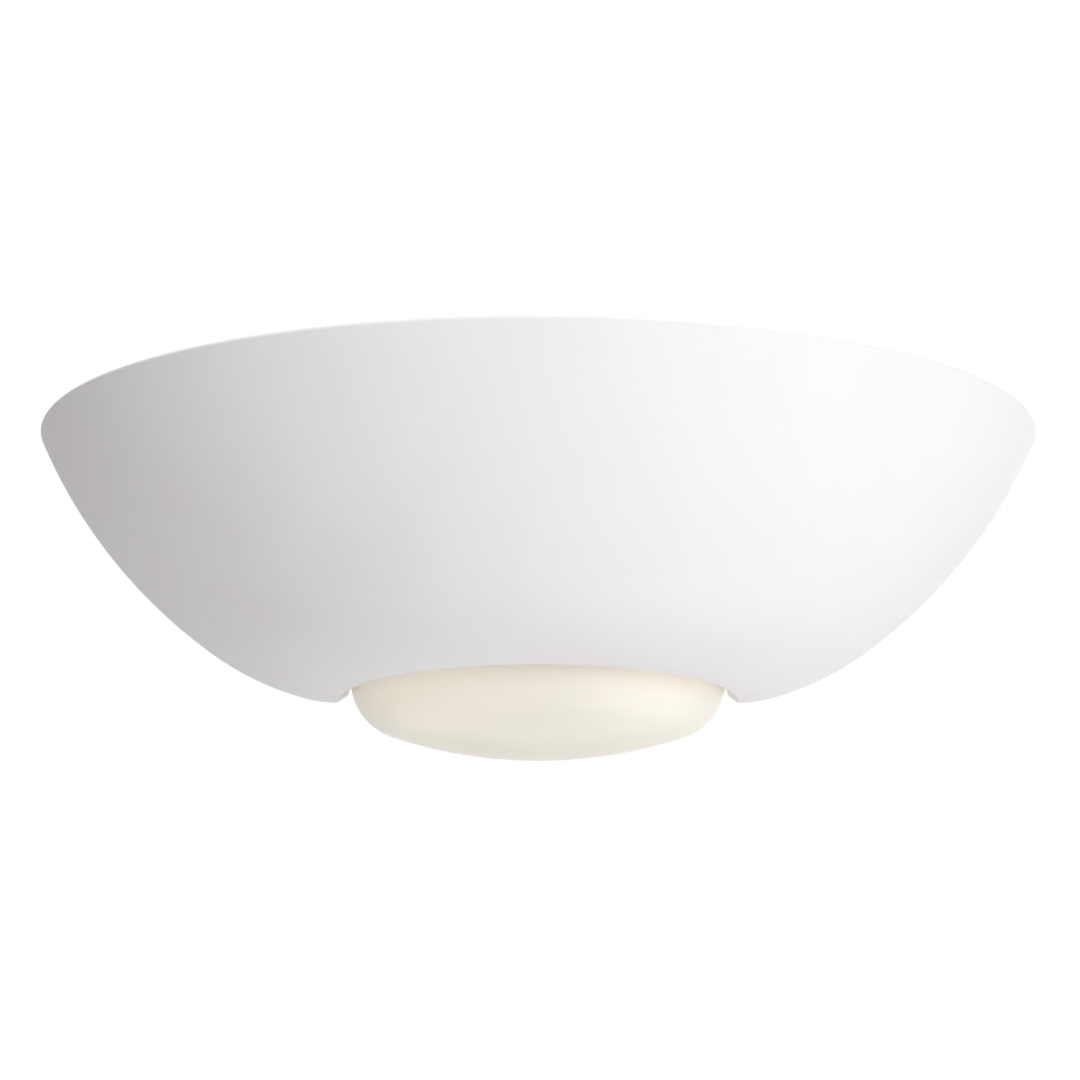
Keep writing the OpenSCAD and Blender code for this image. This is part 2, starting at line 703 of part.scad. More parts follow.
module terminal_block() {
    tower = 2.2; // height of the screw towers above the block's step
    color("#efefec") difference() {
        union() {
            translate([block_x - block_w/2, -plate_t - block_d + tower, block_z - block_h/2])
                cube([block_w, block_d - tower, block_h]);
            for (i = [0:ways - 1]) translate([way_x(i) - 3.4, -plate_t - block_d, block_z - block_h/2 + 1])
                cube([6.8, block_d - 1, block_h - 2]);
        }
        for (i = [0:ways - 1]) {
            translate([way_x(i), -block_mid, block_z - block_h]) cylinder(r = way_tube_r + snug, h = 2*block_h);
            for (side = [-1, 1]) translate([way_x(i), -block_mid, block_z + side*way_screw_gap/2])
                rotate([90, 0, 0]) cylinder(r = way_screw_r + 0.8, h = block_d);
        }
        translate([block_screw_x, 0, block_z]) rotate([90, 0, 0]) cylinder(r = block_screw_r + snug, h = 2*block_d);
        translate([block_screw_x, -plate_t - 5, block_z]) rotate([90, 0, 0]) cylinder(r = 1.7, h = block_d);
    }
}

module terminal_tubes() {
    color("#c9a94f") for (i = [0:ways - 1]) difference() {
        translate([way_x(i), -block_mid, block_z - block_h/2 + 2]) cylinder(r = way_tube_r, h = block_h - 4);
        translate([way_x(i), -block_mid, block_z - block_h]) cylinder(r = way_bore_r, h = 2*block_h);
        for (side = [-1, 1]) translate([way_x(i), -block_mid, block_z + side*way_screw_gap/2])
            rotate([90, 0, 0]) cylinder(r = way_screw_r + snug, h = block_d);
    }
}

module terminal_screws() {
    color("#b7babd") for (i = [0:ways - 1], side = [-1, 1])
        translate([way_x(i), -block_mid - lead_r - 0.1, block_z + side*way_screw_gap/2])
            rotate([90, 0, 0]) difference() {
                cylinder(r = way_screw_r, h = block_d/2 - 2);
                translate([-2, -0.25, block_d/2 - 2.7]) cube([4, 0.5, 1]);
            }
}

module block_screw() {
    head_h = 1.8;
    // The head is a cheese head that stands on the step between two screw towers.
    color("#b7babd") translate([block_screw_x, -plate_t - 5, block_z]) rotate([90, 0, 0]) {
        cylinder(r = 1.6, h = head_h);
        translate([0, 0, -4.5 - plate_t]) cylinder(r = block_screw_r, h = 4.5 + plate_t + eps);
    }
}

module terminal_cover() {
    notch_out = 10;
    color("#f0efec") difference() {
        union() {
            translate([0, 0, cover_z]) on_wall(plate_t, cover_d) rounded(cover_w, cover_h, cover_corner_r);
            translate([0, 0, cover_z]) on_wall(plate_t, cover_t) {
                square([2*ear_x, 2*ear_r], center = true);
                pie([ear_x, 0], ear_r, -90, 90);
                pie([-ear_x, 0], ear_r, 90, 270);
            }
        }
        translate([0, 0, cover_z]) on_wall(plate_t - 1, cover_d - cover_t + 1)
            rounded(cover_w - 2*cover_t, cover_h - 2*cover_t, cover_corner_r - cover_t);
        for (side = [-1, 1]) translate([side*ear_x, -plate_t + 1, cover_z]) rotate([90, 0, 0])
            cylinder(r = cover_screw_r + hole_gap, h = cover_t + 2);
        translate([notch_x - 1, -notch_out, notch_mid - notch_h/2])
            cube([cover_t + 2, notch_out, notch_h]);
    }
}

module cover_screws() {
    color("#c2c5c8") for (side = [-1, 1])
        translate([side*ear_x, -plate_t - cover_t, cover_z]) rotate([90, 0, 0])
            slotted_screw(cover_head_r, cover_head_h, cover_screw_r, cover_t + plate_t - 0.3);
}

module earth_ring() {
    color("#cdb269") {
        on_wall(plate_t, ring_t) translate([earth_x, earth_z]) difference() {
            union() {
                circle(r = 4.2);
                translate([-1.8, -8]) square([3.6, 6]);
            }
            circle(r = earth_r + hole_gap);
        }
        translate([earth_x, -earth_out, 0]) tube(lead_r + 0.75, lead_r + 0.1, earth_barrel, 5);
    }
}

module earth_washer() {
    color("#b9bcbf") translate([earth_x, 0, earth_z]) rotate([90, 0, 0])
        tube(4, earth_r + hole_gap, plate_t + ring_t, earth_washer_t);
}

module earth_screw() {
    color("#3f8f4b") translate([earth_x, -plate_t - ring_t - earth_washer_t, earth_z]) rotate([90, 0, 0])
        slotted_screw(3.8, 2.4, earth_r, plate_t + ring_t + earth_washer_t - 0.2);
}

module earth_lead() {
    color("#7fae3a") lead(earth_route);
}

module live_lead() {
    color("#8a5a36") lead(live_route);
}

module neutral_lead() {
    color("#3f6fae") lead(neutral_route);
}

module lead_grommet() {
    color("#4a4a48") translate([-arm_reach - plate_t, -lead_hole_out, lamp_z]) rotate([0, 90, 0])
        difference() {
            union() {
                translate([0, 0, -1.2]) cylinder(r = lead_hole_r + 1.4, h = 1.2);
                translate([0, 0, -eps]) cylinder(r = lead_hole_r - snug, h = plate_t + 2*eps);
                translate([0, 0, plate_t]) cylinder(r = lead_hole_r + 1.4, h = 1.2);
            }
            translate([0, 0, -2]) cylinder(r = lead_hole_r - 1.6, h = plate_t + 4);
        }
}

// ---------------------------------------------------------------- lampholder

module nipple() {
    color("#cdb269") on_lamp_axis() tube(nipple_r, nipple_bore_r, -nipple_back, nipple_l);
}

module nipple_nut() {
    color("#cdb269") on_lamp_axis() translate([0, 0, -plate_t - nipple_nut_h]) difference() {
        cylinder(d = nipple_nut_w/cos(30), h = nipple_nut_h, $fn = 6);
        translate([0, 0, -1]) cylinder(r = nipple_r + snug, h = nipple_nut_h + 2);
    }
}

module nipple_washer() {
    teeth = 12;
    color("#b9bcbf") on_lamp_axis() linear_extrude(lock_t) difference() {
        circle(r = hub_r);
        circle(r = nipple_r + hole_gap);
        for (i = [0:teeth - 1]) rotate(i*360/teeth) translate([hub_r, 0]) circle(r = 0.7);
    }
}

module holder_cap() {
    rim = holder_r - 0.6; // radius of the cap where it meets the barrel
    color("#f1f1ef") on_lamp_axis() difference() {
        rotate_extrude() polygon([
            [nipple_r + snug, lock_t], [hub_r, lock_t], [hub_r, lock_t + hub_h],
            [rim - 3, lock_t + hub_h + 5], [rim, lock_t + hub_h + 9], [rim, barrel_z],
            [spigot_r, barrel_z], [spigot_r, barrel_z + spigot_l],
            [spigot_r - holder_t + 0.6, barrel_z + spigot_l], [spigot_r - holder_t + 0.6, barrel_z - 8],
            [rim - 3 - holder_t, lock_t + hub_h + 7], [hub_r, lock_t + hub_h + 3],
            [nipple_r + snug, lock_t + hub_h + 3]
        ]);
        translate([0, 0, lock_t + hub_h/2]) rotate([0, 90, 0]) cylinder(r = 1.5 + snug, h = 2*hub_r);
    }
}

module holder_grub_screw() {
    color("#8d9093") on_lamp_axis() translate([nipple_r + snug, 0, lock_t + hub_h/2]) rotate([0, 90, 0])
        difference() {
            cylinder(r = 1.5, h = hub_r - nipple_r - 0.4);
            translate([-2, -0.3, hub_r - nipple_r - 1.2]) cube([4, 0.6, 1]);
        }
}

module holder_barrel() {
    lip = 2; // length of the lip at the barrel's mouth
    mouth_r = shell_r + thread_wave + shell_t + 0.6;
    end = barrel_z + barrel_l;
    color("#f1f1ef") on_lamp_axis() rotate_extrude() polygon([
        [spigot_r + snug, barrel_z], [holder_r, barrel_z], [holder_r, end - 6],
        [holder_r - 1, end], [mouth_r, end], [mouth_r, end - lip],
        [spigot_r - 0.6, end - lip - 1.5], [spigot_r - 0.6, barrel_z + spigot_l],
        [spigot_r + snug, barrel_z + spigot_l]
    ]);
}

module holder_core() {
    color("#e4ded2") on_lamp_axis() difference() {
        union() {
            translate([0, 0, core_z]) cylinder(r = core_r, h = core_h);
            translate([0, 0, core_z + core_h - eps])
                cylinder(r = shell_r - thread_wave - shell_t - 0.1, h = boss_h + eps);
        }
        // Open slot that the side contact passes through.
        translate([core_r - 1.2, -2.5, core_z - 1]) cube([2, 5, core_h + 2]);
    }
}

module screw_shell() {
    start = shell_z + 1.5;
    end = shell_z + shell_l;
    r = shell_r + shell_t;
    color("#c9a94f") on_lamp_axis() threaded_tube(concat(
        [[shell_z, r, 0]], thread_stops(start, end - 1, r, 1), [[end, r + thread_wave + 0.2, 0]]
    ), shell_t);
}

module centre_contact() {
    base = shell_z + boss_h;
    tip = contact_z - 0.1;
    color("#d2b45c") on_lamp_axis() rotate([90, 0, 0]) translate([0, 0, -2.5]) linear_extrude(5)
        polygon([
            [-9, base], [-3, base], [0, tip - tongue_t], [4, tip - tongue_t], [4, tip],
            [-0.4, tip], [-3.4, base + tongue_t], [-9, base + tongue_t]
        ]);
}

module holder_terminals() {
    z = core_z - terminal_w;
    color("#c9a94f") on_lamp_axis() for (side = [-1, 1]) difference() {
        translate([side*terminal_x - 3, -3, z]) cube([6, terminal_w, terminal_w]);
        translate([side*terminal_x, 0, z - 1]) cylinder(r = lead_r + 0.25, h = terminal_w + 2);
        translate([side*terminal_x, 0, z + terminal_w/2]) rotate([0, side*90, 0])
            cylinder(r = way_screw_r + snug, h = terminal_w);
    }
}

module holder_terminal_screws() {
    color("#b7babd") on_lamp_axis() for (side = [-1, 1])
        translate([side*(terminal_x + 3), 0, core_z - terminal_w/2]) rotate([0, side*90, 0])
            slotted_screw(2.2, 1.4, way_screw_r, 3 - lead_r - 0.3);
}

// ---------------------------------------------------------------- lamp

module lamp_contact() {
    color("#c6c9cc") on_lamp_axis() rotate_extrude() polygon([
        [0, contact_z], [3, contact_z], [4.8, contact_z + 0.6], [4.8, contact_z + contact_h],
        [0, contact_z + contact_h]
    ]);
}

module lamp_insulator() {
    z = contact_z + contact_h;
    r = thread_r - 3;
    color("#2f2f31") on_lamp_axis() rotate_extrude() polygon([
        [0, z], [4.9, z], [r, z + 2.8], [r, z + insulator_h], [0, z + insulator_h]
    ]);
}

module lamp_cap() {
    top = cap_z + cap_thread_l;
    color("#cfd2d4") on_lamp_axis() threaded_tube(concat(
        [[cap_z, thread_r - 2.2, 0], [cap_z + 0.8, thread_r - 0.9, 0]],
        thread_stops(cap_z + 1.6, top, thread_r, -1),
        [[top + 0.6, thread_r + thread_wave, 0], [cap_top, thread_r + thread_wave, 0]]
    ), cap_t);
}

// Radius of the collar's outer face, which widens smoothly from its neck to the globe.
function collar_r(f) = let (neck = thread_r + 2.1)
    neck + (globe_neck_r - neck)*(1 - cos(180*min(1, f*1.12)))/2;

module lamp_collar() {
    steps = 16;
    ledge = board_z - 2;
    color("#f4f4f2") on_lamp_axis() rotate_extrude() polygon(concat(
        [for (i = [0:steps]) [collar_r(i/steps), collar_z + collar_l*i/steps]],
        [[globe_neck_r - collar_t, globe_z], [globe_neck_r - collar_t, board_z],
            [globe_neck_r - collar_t - 2.4, board_z], [globe_neck_r - collar_t - 2.4, ledge]],
        [for (i = [steps - 4:-1:2]) [collar_r(i/steps) - collar_t, collar_z + collar_l*i/steps]],
        [[thread_r + thread_wave + 0.1, cap_top + 0.5], [thread_r + thread_wave + 0.1, collar_z]]
    ));
}

module lamp_globe() {
    color("#f7f6f2") on_lamp_axis() rotate_extrude() intersection() {
        difference() {
            translate([0, globe_c]) circle(r = globe_r);
            translate([0, globe_c]) circle(r = globe_r - globe_t);
        }
        translate([0, globe_z]) square([2*globe_r, 3*globe_r]);
    }
}

module led_board() {
    color("#dfe2e4") on_lamp_axis() translate([0, 0, board_z]) difference() {
        cylinder(r = board_r, h = board_t);
        for (side = [-1, 1]) translate([side*6, 0, -1]) cylinder(r = 1.6, h = board_t + 2);
    }
}

module led_chips() {
    chip_w = 2.8;
    color("#f2d54a") on_lamp_axis() for (i = [0:chips - 1]) rotate([0, 0, i*360/chips])
        translate([board_r*0.66, -chip_w/2, board_z + board_t]) cube([chip_w, chip_w, 0.7]);
}

module driver_board() {
    start = cap_top + 1;
    l = board_z - 4 - start;
    t = 1.2;
    coil_w = driver_w/3;
    can_r = driver_w/4.7;
    color("#3c7d5b") on_lamp_axis() {
        translate([-t/2, -driver_w/2, start]) cube([t, driver_w, l]);
        translate([t/2 - eps, -coil_w, start + 0.2*l]) cube([coil_w, coil_w + 1, 0.26*l]);
        translate([t/2 + can_r, can_r + 0.2, start + 0.13*l]) cylinder(r = can_r, h = 0.32*l);
        translate([-t/2 - 4, -coil_w*0.7, start + 0.3*l]) cube([4 + eps, coil_w*1.4, 0.3*l]);
    }
}

// ---------------------------------------------------------------- nodes

wall_bracket();
lampholder_arm();
arm_rivets();
tab_nuts();
lug_pads();
cable_grommet();
terminal_block();
terminal_tubes();
terminal_screws();
block_screw();
terminal_cover();
cover_screws();
earth_screw();
earth_washer();
earth_ring();
earth_lead();
lead_grommet();
live_lead();
neutral_lead();
nipple();
nipple_nut();
nipple_washer();
holder_cap();
holder_grub_screw();
holder_barrel();
holder_core();
screw_shell();
centre_contact();
holder_terminals();
holder_terminal_screws();
shade();
diffuser_seal();
glass_diffuser();
thumbscrew_washer(-1);  // thumbscrew_washer_left
thumbscrew_washer(1);  // thumbscrew_washer_right
thumbscrew(-1);  // thumbscrew_left
thumbscrew(1);  // thumbscrew_right
lamp_contact();
lamp_insulator();
lamp_cap();
lamp_collar();
lamp_globe();
led_board();
led_chips();
driver_board();
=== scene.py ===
"""Looks of an uplighter wall sconce: a half bowl of bisque clay over a satin glass dish.

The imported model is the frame, and every piece here is modelled on it, dressed, and rides on one of
its bodies. Sizes are in millimetres, each piece becomes metres when it is settled, and X is to the
right, Y goes into the wall and Z is up.
"""

import logging
import math
from contextlib import contextmanager
from dataclasses import dataclass, field
from enum import Enum
from typing import Callable, Iterator, Mapping, Sequence

import bmesh
import bpy
from mathutils import Matrix, Vector


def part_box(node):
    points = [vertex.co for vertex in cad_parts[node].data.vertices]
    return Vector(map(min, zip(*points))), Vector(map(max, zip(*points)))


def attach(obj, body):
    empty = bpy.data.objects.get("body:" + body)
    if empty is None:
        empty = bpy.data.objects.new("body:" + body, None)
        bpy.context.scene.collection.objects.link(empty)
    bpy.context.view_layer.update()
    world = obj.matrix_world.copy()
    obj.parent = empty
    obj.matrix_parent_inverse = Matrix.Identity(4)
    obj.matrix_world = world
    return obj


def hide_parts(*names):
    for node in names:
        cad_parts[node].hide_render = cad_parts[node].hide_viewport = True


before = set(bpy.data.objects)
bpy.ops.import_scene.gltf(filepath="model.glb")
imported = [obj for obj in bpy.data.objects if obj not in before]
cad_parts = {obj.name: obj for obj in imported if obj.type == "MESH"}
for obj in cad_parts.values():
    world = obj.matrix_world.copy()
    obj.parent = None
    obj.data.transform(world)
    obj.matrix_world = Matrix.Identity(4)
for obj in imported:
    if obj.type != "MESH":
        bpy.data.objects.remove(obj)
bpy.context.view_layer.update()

log = logging.getLogger("sconce")

MM = 0.001
MERGE = 0.002  # vertices closer than this, in millimetres, become one
SMOOTH_BELOW = 32.0  # edges sharper than this, in degrees, stay sharp
PRESSED_EDGE = 0.22  # the edge's rounding on pressed sheet and on the cover
Point = Sequence[float]
Corner = tuple[float, float, float]  # a point in space, or a section's point and its rounding
Piece = bpy.types.Object
Socket = bpy.types.NodeSocket


# ------------------------------------------------------------------ modelling by hand


def start_fresh() -> None:
    """Goes back to object mode with nothing selected."""
    if bpy.context.mode != "OBJECT":
        bpy.ops.object.mode_set(mode="OBJECT")
    bpy.ops.object.select_all(action="DESELECT")


def pick(*pieces: Piece) -> None:
    """Selects pieces and nothing else.

    Args:
        *pieces: The pieces, with the one that becomes active first.
    """
    start_fresh()
    for piece in pieces:
        piece.select_set(True)
    bpy.context.view_layer.objects.active = pieces[0]


def anchored() -> Piece:
    """Puts the active piece's place into its mesh and returns the piece."""
    bpy.ops.object.transform_apply(location=True, rotation=True, scale=True)
    return bpy.context.active_object


@contextmanager
def editing(piece: Piece) -> Iterator[None]:
    """Opens a piece in edit mode with all of it selected, and closes it again.

    Args:
        piece: The piece.

    Yields:
        Nothing, while the piece is open.
    """
    pick(piece)
    bpy.ops.object.mode_set(mode="EDIT")
    bpy.ops.mesh.select_mode(type="VERT")
    bpy.ops.mesh.select_all(action="SELECT")
    yield
    bpy.ops.object.mode_set(mode="OBJECT")


def choose(kind: str, test: Callable[[object], bool]) -> None:
    """Selects those parts of the mesh being edited that pass a test.

    Args:
        kind: VERT, EDGE or FACE.
        test: Says whether a vertex, edge or face is wanted.
    """
    bpy.ops.mesh.select_mode(type=kind)
    bpy.ops.mesh.select_all(action="DESELECT")
    data = bpy.context.edit_object.data
    mesh = bmesh.from_edit_mesh(data)
    for part in {"VERT": mesh.verts, "EDGE": mesh.edges, "FACE": mesh.faces}[kind]:
        if test(part):
            part.select_set(True)
    mesh.select_flush_mode()
    bmesh.update_edit_mesh(data)


def round_edges(
    test: Callable[[bmesh.types.BMEdge], bool], width: float, segments: int, clamp: bool = False
) -> None:
    """Rounds those edges of the mesh being edited that pass a test.

    Args:
        test: Says whether an edge is wanted.
        width: Width of the rounding.
        segments: Number of faces across it.
        clamp: Whether it stops where it would meet another.
    """
    choose("EDGE", test)
    bpy.ops.mesh.bevel(offset=width, segments=segments, affect="EDGES", clamp_overlap=clamp)


def push(x: float, y: float, z: float) -> None:
    """Extrudes what is selected by a move."""
    bpy.ops.mesh.extrude_region_move(TRANSFORM_OT_translate={"value": (x, y, z)})


def close_up(holes: bool = True) -> None:
    """Merges doubles of the mesh being edited, fills its holes and turns its normals out.

    Args:
        holes: Whether holes are filled and loose edges removed.
    """
    bpy.ops.mesh.select_all(action="SELECT")
    bpy.ops.mesh.remove_doubles(threshold=MERGE)
    if holes:
        bpy.ops.mesh.delete_loose(use_verts=True, use_edges=True)
        bpy.ops.mesh.select_all(action="SELECT")
        bpy.ops.mesh.fill_holes(sides=0)
        bpy.ops.mesh.select_all(action="SELECT")
    bpy.ops.mesh.normals_make_consistent(inside=False)


def middle(edge: bmesh.types.BMEdge) -> Vector:
    """Returns the point half way along an edge."""
    return (edge.verts[0].co + edge.verts[1].co) / 2


def along(edge: bmesh.types.BMEdge, axis: int) -> bool:
    """Says whether an edge runs along one axis."""
    return abs((edge.verts[1].co - edge.verts[0].co).normalized()[axis]) > 0.999


def borders(edge: bmesh.types.BMEdge, test: Callable[[bmesh.types.BMFace], bool]) -> bool:
    """Says whether an edge parts a face that passes a test from one that doesn't."""
    passed = [test(face) for face in edge.link_faces]
    return edge.is_manifold and any(passed) and not all(passed)


def apply_modifier(piece: Piece, kind: str, **settings: object) -> Piece:
    """Adds a modifier to a piece, sets it and applies it.

    Args:
        piece: The piece that is changed.
        kind: The modifier's type, such as BEVEL.
        **settings: The modifier's own values.

    Returns:
        The piece.
    """
    modifier = piece.modifiers.new(kind.title(), kind)
    for name, value in settings.items():
        setattr(modifier, name, value)
    pick(piece)
    bpy.ops.object.modifier_apply(modifier=modifier.name)
    return piece


def soften(piece: Piece, width: float, segments: int = 2) -> Piece:
    """Rounds every sharp edge of a piece.

    Args:
        piece: The piece that is changed.
        width: Width of the rounding.
        segments: Number of faces across it.

    Returns:
        The piece.
    """
    return apply_modifier(
        piece, "BEVEL", width=width, segments=segments, limit_method="ANGLE",
        angle_limit=math.radians(38.0), use_clamp_overlap=True,
    )


def combine(piece: Piece, tool: Piece, operation: str = "DIFFERENCE") -> Piece:
    """Cuts, joins or crosses a piece with a tool, which is then removed.

    Args:
        piece: The piece that is changed.
        tool: The tool.
        operation: DIFFERENCE, UNION or INTERSECT.

    Returns:
        The piece.
    """
    apply_modifier(piece, "BOOLEAN", operation=operation, solver="EXACT", object=tool)
    bpy.data.objects.remove(tool)
    return piece


def cut(piece: Piece, *tools: Piece) -> Piece:
    """Cuts tools out of a piece, one after another.

    Args:
        piece: The piece that is changed.
        *tools: The tools, which are then removed.

    Returns:
        The piece.
    """
    for tool in tools:
        combine(piece, tool)
    return piece


def rod(start: Point, end: Point, radius: float, sides: int = 48) -> Piece:
    """Adds a cylinder between two points.

    Args:
        start: Middle of one end.
        end: Middle of the other end.
        radius: The cylinder's radius.
        sides: Number of faces round it.

    Returns:
        The cylinder, with its place in its mesh.
    """
    start_fresh()
    run = Vector(end) - Vector(start)
    bpy.ops.mesh.primitive_cylinder_add(
        vertices=sides, radius=radius, depth=run.length,
        location=(Vector(start) + Vector(end)) / 2,
        rotation=run.to_track_quat("Z", "Y").to_euler(),
    )
    return anchored()


def block(low: Point, high: Point) -> Piece:
    """Adds a box.

    Args:
        low: Its lowest corner.
        high: Its highest corner.

    Returns:
        The box, with its place in its mesh.
    """
    start_fresh()
    low, high = Vector(low), Vector(high)
    bpy.ops.mesh.primitive_cube_add(size=1.0, location=(low + high) / 2, scale=high - low)
    return anchored()


def place(piece: Piece, matrix: Matrix) -> Piece:
    """Moves a piece and keeps its place in its mesh.

    Args:
        piece: The piece.
        matrix: The move.

    Returns:
        The piece.
    """
    pick(piece)
    piece.matrix_world = matrix
    return anchored()


def spread(piece: Piece, places: Sequence[Matrix]) -> list[Piece]:
    """Puts a piece at the first of several places, and copies of it at the others.

    Args:
        piece: The piece.
        places: Where it and its copies go.

    Returns:
        The piece and its copies, in the order of their places.
    """
    copies = []
    for spot in places[1:]:
        pick(piece)
        bpy.ops.object.duplicate(linked=False)
        copies.append(place(bpy.context.active_object, spot))
    return [place(piece, places[0]), *copies]


def cluster(piece: Piece, places: Sequence[Matrix]) -> Piece:
    """Joins a piece at the first of several places with copies of it at the others.

    Args:
        piece: The piece.
        places: Where it and its copies go.

    Returns:
        The one object that they become.
    """
    pick(*spread(piece, places))
    bpy.ops.object.join()
    return bpy.context.active_object


def box_of(node: str) -> tuple[Vector, Vector]:
    """Returns a CAD node's lowest and highest corners in millimetres."""
    low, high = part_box(node)
    return low / MM, high / MM


def at(x: float, y: float, z: float) -> Matrix:
    """Returns a place at a point."""
    return Matrix.Translation((x, y, z))


# Turns a slab that was drawn on the wall so that its drawn height points out of the wall, or lies
# along Y, and turns what was drawn along Z to point along X.
UPRIGHT = Matrix.Rotation(math.radians(90), 4, "X")
LAID = Matrix.Rotation(math.radians(-90), 4, "X")
SIDEWAYS = Matrix.Rotation(math.radians(90), 4, "Y")


def facing(x: float, y: float, z: float) -> Matrix:
    """Returns a place at a point, for a piece whose own Z is to point out of the wall."""
    return at(x, y, z) @ UPRIGHT


def lamp_axis() -> Matrix:
    """Returns the place of pieces drawn along the lamp's axis, with the arm's face at 0."""
    low, high = box_of("nipple_washer")
    return at(low.x, (low.y + high.y) / 2, (low.z + high.z) / 2) @ SIDEWAYS


def screw_point(side: int) -> Vector:
    """Returns the axis of the left (-1) or right (1) thumbscrew, at height 0."""
    low, high = box_of("thumbscrew_left" if side < 0 else "thumbscrew_right")
    return Vector(((low.x + high.x) / 2, (low.y + high.y) / 2, 0.0))


def rectangle(centre: Point, width: float, height: float, rounding: float) -> list[Corner]:
    """Draws a rectangle, anticlockwise from its lower left.

    Args:
        centre: Its middle.
        width: Its width.
        height: Its height.
        rounding: Radius of its corners.

    Returns:
        Its corners, each with its rounding.
    """
    x, z = centre[0] - width / 2, centre[1] - height / 2
    spots = (x, z), (x + width, z), (x + width, z + height), (x, z + height)
    return [(*spot, rounding) for spot in spots]


class SectionPen:
    """Draws a section in the XZ plane, vertex by vertex, and turns or thickens it.

    X is the distance from the axis and Z the height along it. Angles are positive when the section
    runs anticlockwise with X to the right and Z up.
    """

    def __init__(self, start: Point) -> None:
        """Starts a section from a plane that is merged to one vertex.

        Args:
            start: The section's first point.
        """
        start_fresh()
        bpy.ops.mesh.primitive_plane_add(size=1.0)
        self.piece: Piece = bpy.context.active_object
        bpy.ops.object.mode_set(mode="EDIT")
        bpy.ops.mesh.select_mode(type="VERT")
        bpy.ops.mesh.select_all(action="SELECT")
        bpy.ops.mesh.merge(type="CENTER")
        bpy.ops.transform.translate(value=(start[0], 0.0, start[1]))
        self.tip = Vector(start)

    def line(self, *points: Point) -> "SectionPen":
        """Draws straight lines.

        Args:
            *points: Their ends, in order.

        Returns:
            The pen.
        """
        for point in points:
            step = Vector(point) - self.tip
            push(step.x, 0.0, step.y)
            self.tip = Vector(point)
        return self

    def arc(self, centre: Point, degrees: float, facet: float = 3.0) -> "SectionPen":
        """Draws an arc about a centre.

        Args:
            centre: The arc's centre.
            degrees: How far it turns, anticlockwise if positive.
            facet: Longest straight piece of it.

        Returns:
            The pen.
        """
        turn = math.radians(degrees)
        spoke = self.tip - Vector(centre)
        steps = max(math.ceil(abs(degrees) / 12), math.ceil(abs(turn) * spoke.length / facet), 1)
        bpy.ops.mesh.spin(
            steps=steps, angle=turn, center=(centre[0], 0.0, centre[1]), axis=(0.0, 1.0, 0.0)
        )
        self.tip = Vector(centre) + Matrix.Rotation(turn, 2) @ spoke
        return self

    @classmethod
    def outline(cls, corners: Sequence[Corner]) -> "SectionPen":
        """Draws a closed outline with rounded corners.

        Args:
            corners: Each corner's X, Z and radius, in order.

        Returns:
            The pen, back where it started.
        """
        spots = [Vector(corner[:2]) for corner in corners]
        start = (spots[-1] + spots[0]) / 2
        pen = cls(start)
        for i, (spot, corner) in enumerate(zip(spots, corners)):
            before = (spot - spots[i - 1]).normalized()
            after = (spots[(i + 1) % len(spots)] - spot).normalized()
            turn = math.atan2(before.cross(after), before.dot(after))
            touch = spot - before * corner[2] * math.tan(abs(turn) / 2)
            pen.line(touch)
            if corner[2] > 0:
                side = Vector((-before.y, before.x)) * math.copysign(corner[2], turn)
                pen.arc(touch + side, math.degrees(turn))
        return pen.line(start)

    def turn(self, degrees: float = 360.0, steps: int = 96) -> Piece:
        """Turns the section about Z, from +X by way of -Y, and closes it.

        Args:
            degrees: How far it is turned.
            steps: Number of faces on the way.

        Returns:
            The piece.
        """
        bpy.ops.mesh.select_all(action="SELECT")
        bpy.ops.mesh.spin(
            steps=steps, angle=math.radians(degrees), center=(0.0, 0.0, 0.0), axis=(0.0, 0.0, 1.0)
        )
        return self._close()

    def slab(self, thickness: float) -> Piece:
        """Fills the outline and thickens it towards -Y.

        Args:
            thickness: How far.

        Returns:
            The piece.
        """
        bpy.ops.mesh.select_all(action="SELECT")
        bpy.ops.mesh.remove_doubles(threshold=MERGE)
        bpy.ops.mesh.edge_face_add()
        push(0.0, -thickness, 0.0)
        return self._close()

    def _close(self) -> Piece:
        """Closes the mesh and leaves edit mode.

        Returns:
            The piece.
        """
        close_up()
        bpy.ops.object.mode_set(mode="OBJECT")
        return self.piece


def sheet(corners: Sequence[Corner], thickness: float, where: Matrix = Matrix()) -> Piece:
    """Fills an outline, thickens it towards -Y and puts it in its place.

    Args:
        corners: Each corner's X, Z and rounding, in order.
        thickness: The sheet's thickness.
        where: The sheet's place.

    Returns:
        The sheet.
    """
    return place(SectionPen.outline(corners).slab(thickness), where)


def turned(corners: Sequence[Corner], steps: int = 64, where: Matrix = Matrix()) -> Piece:
    """Turns a section right round Z and puts it in its place.

    Args:
        corners: Each corner's radius, height and rounding, in order.
        steps: Number of faces round it.
        where: The piece's place.

    Returns:
        The turned piece.
    """
    return place(SectionPen.outline(corners).turn(steps=steps), where)


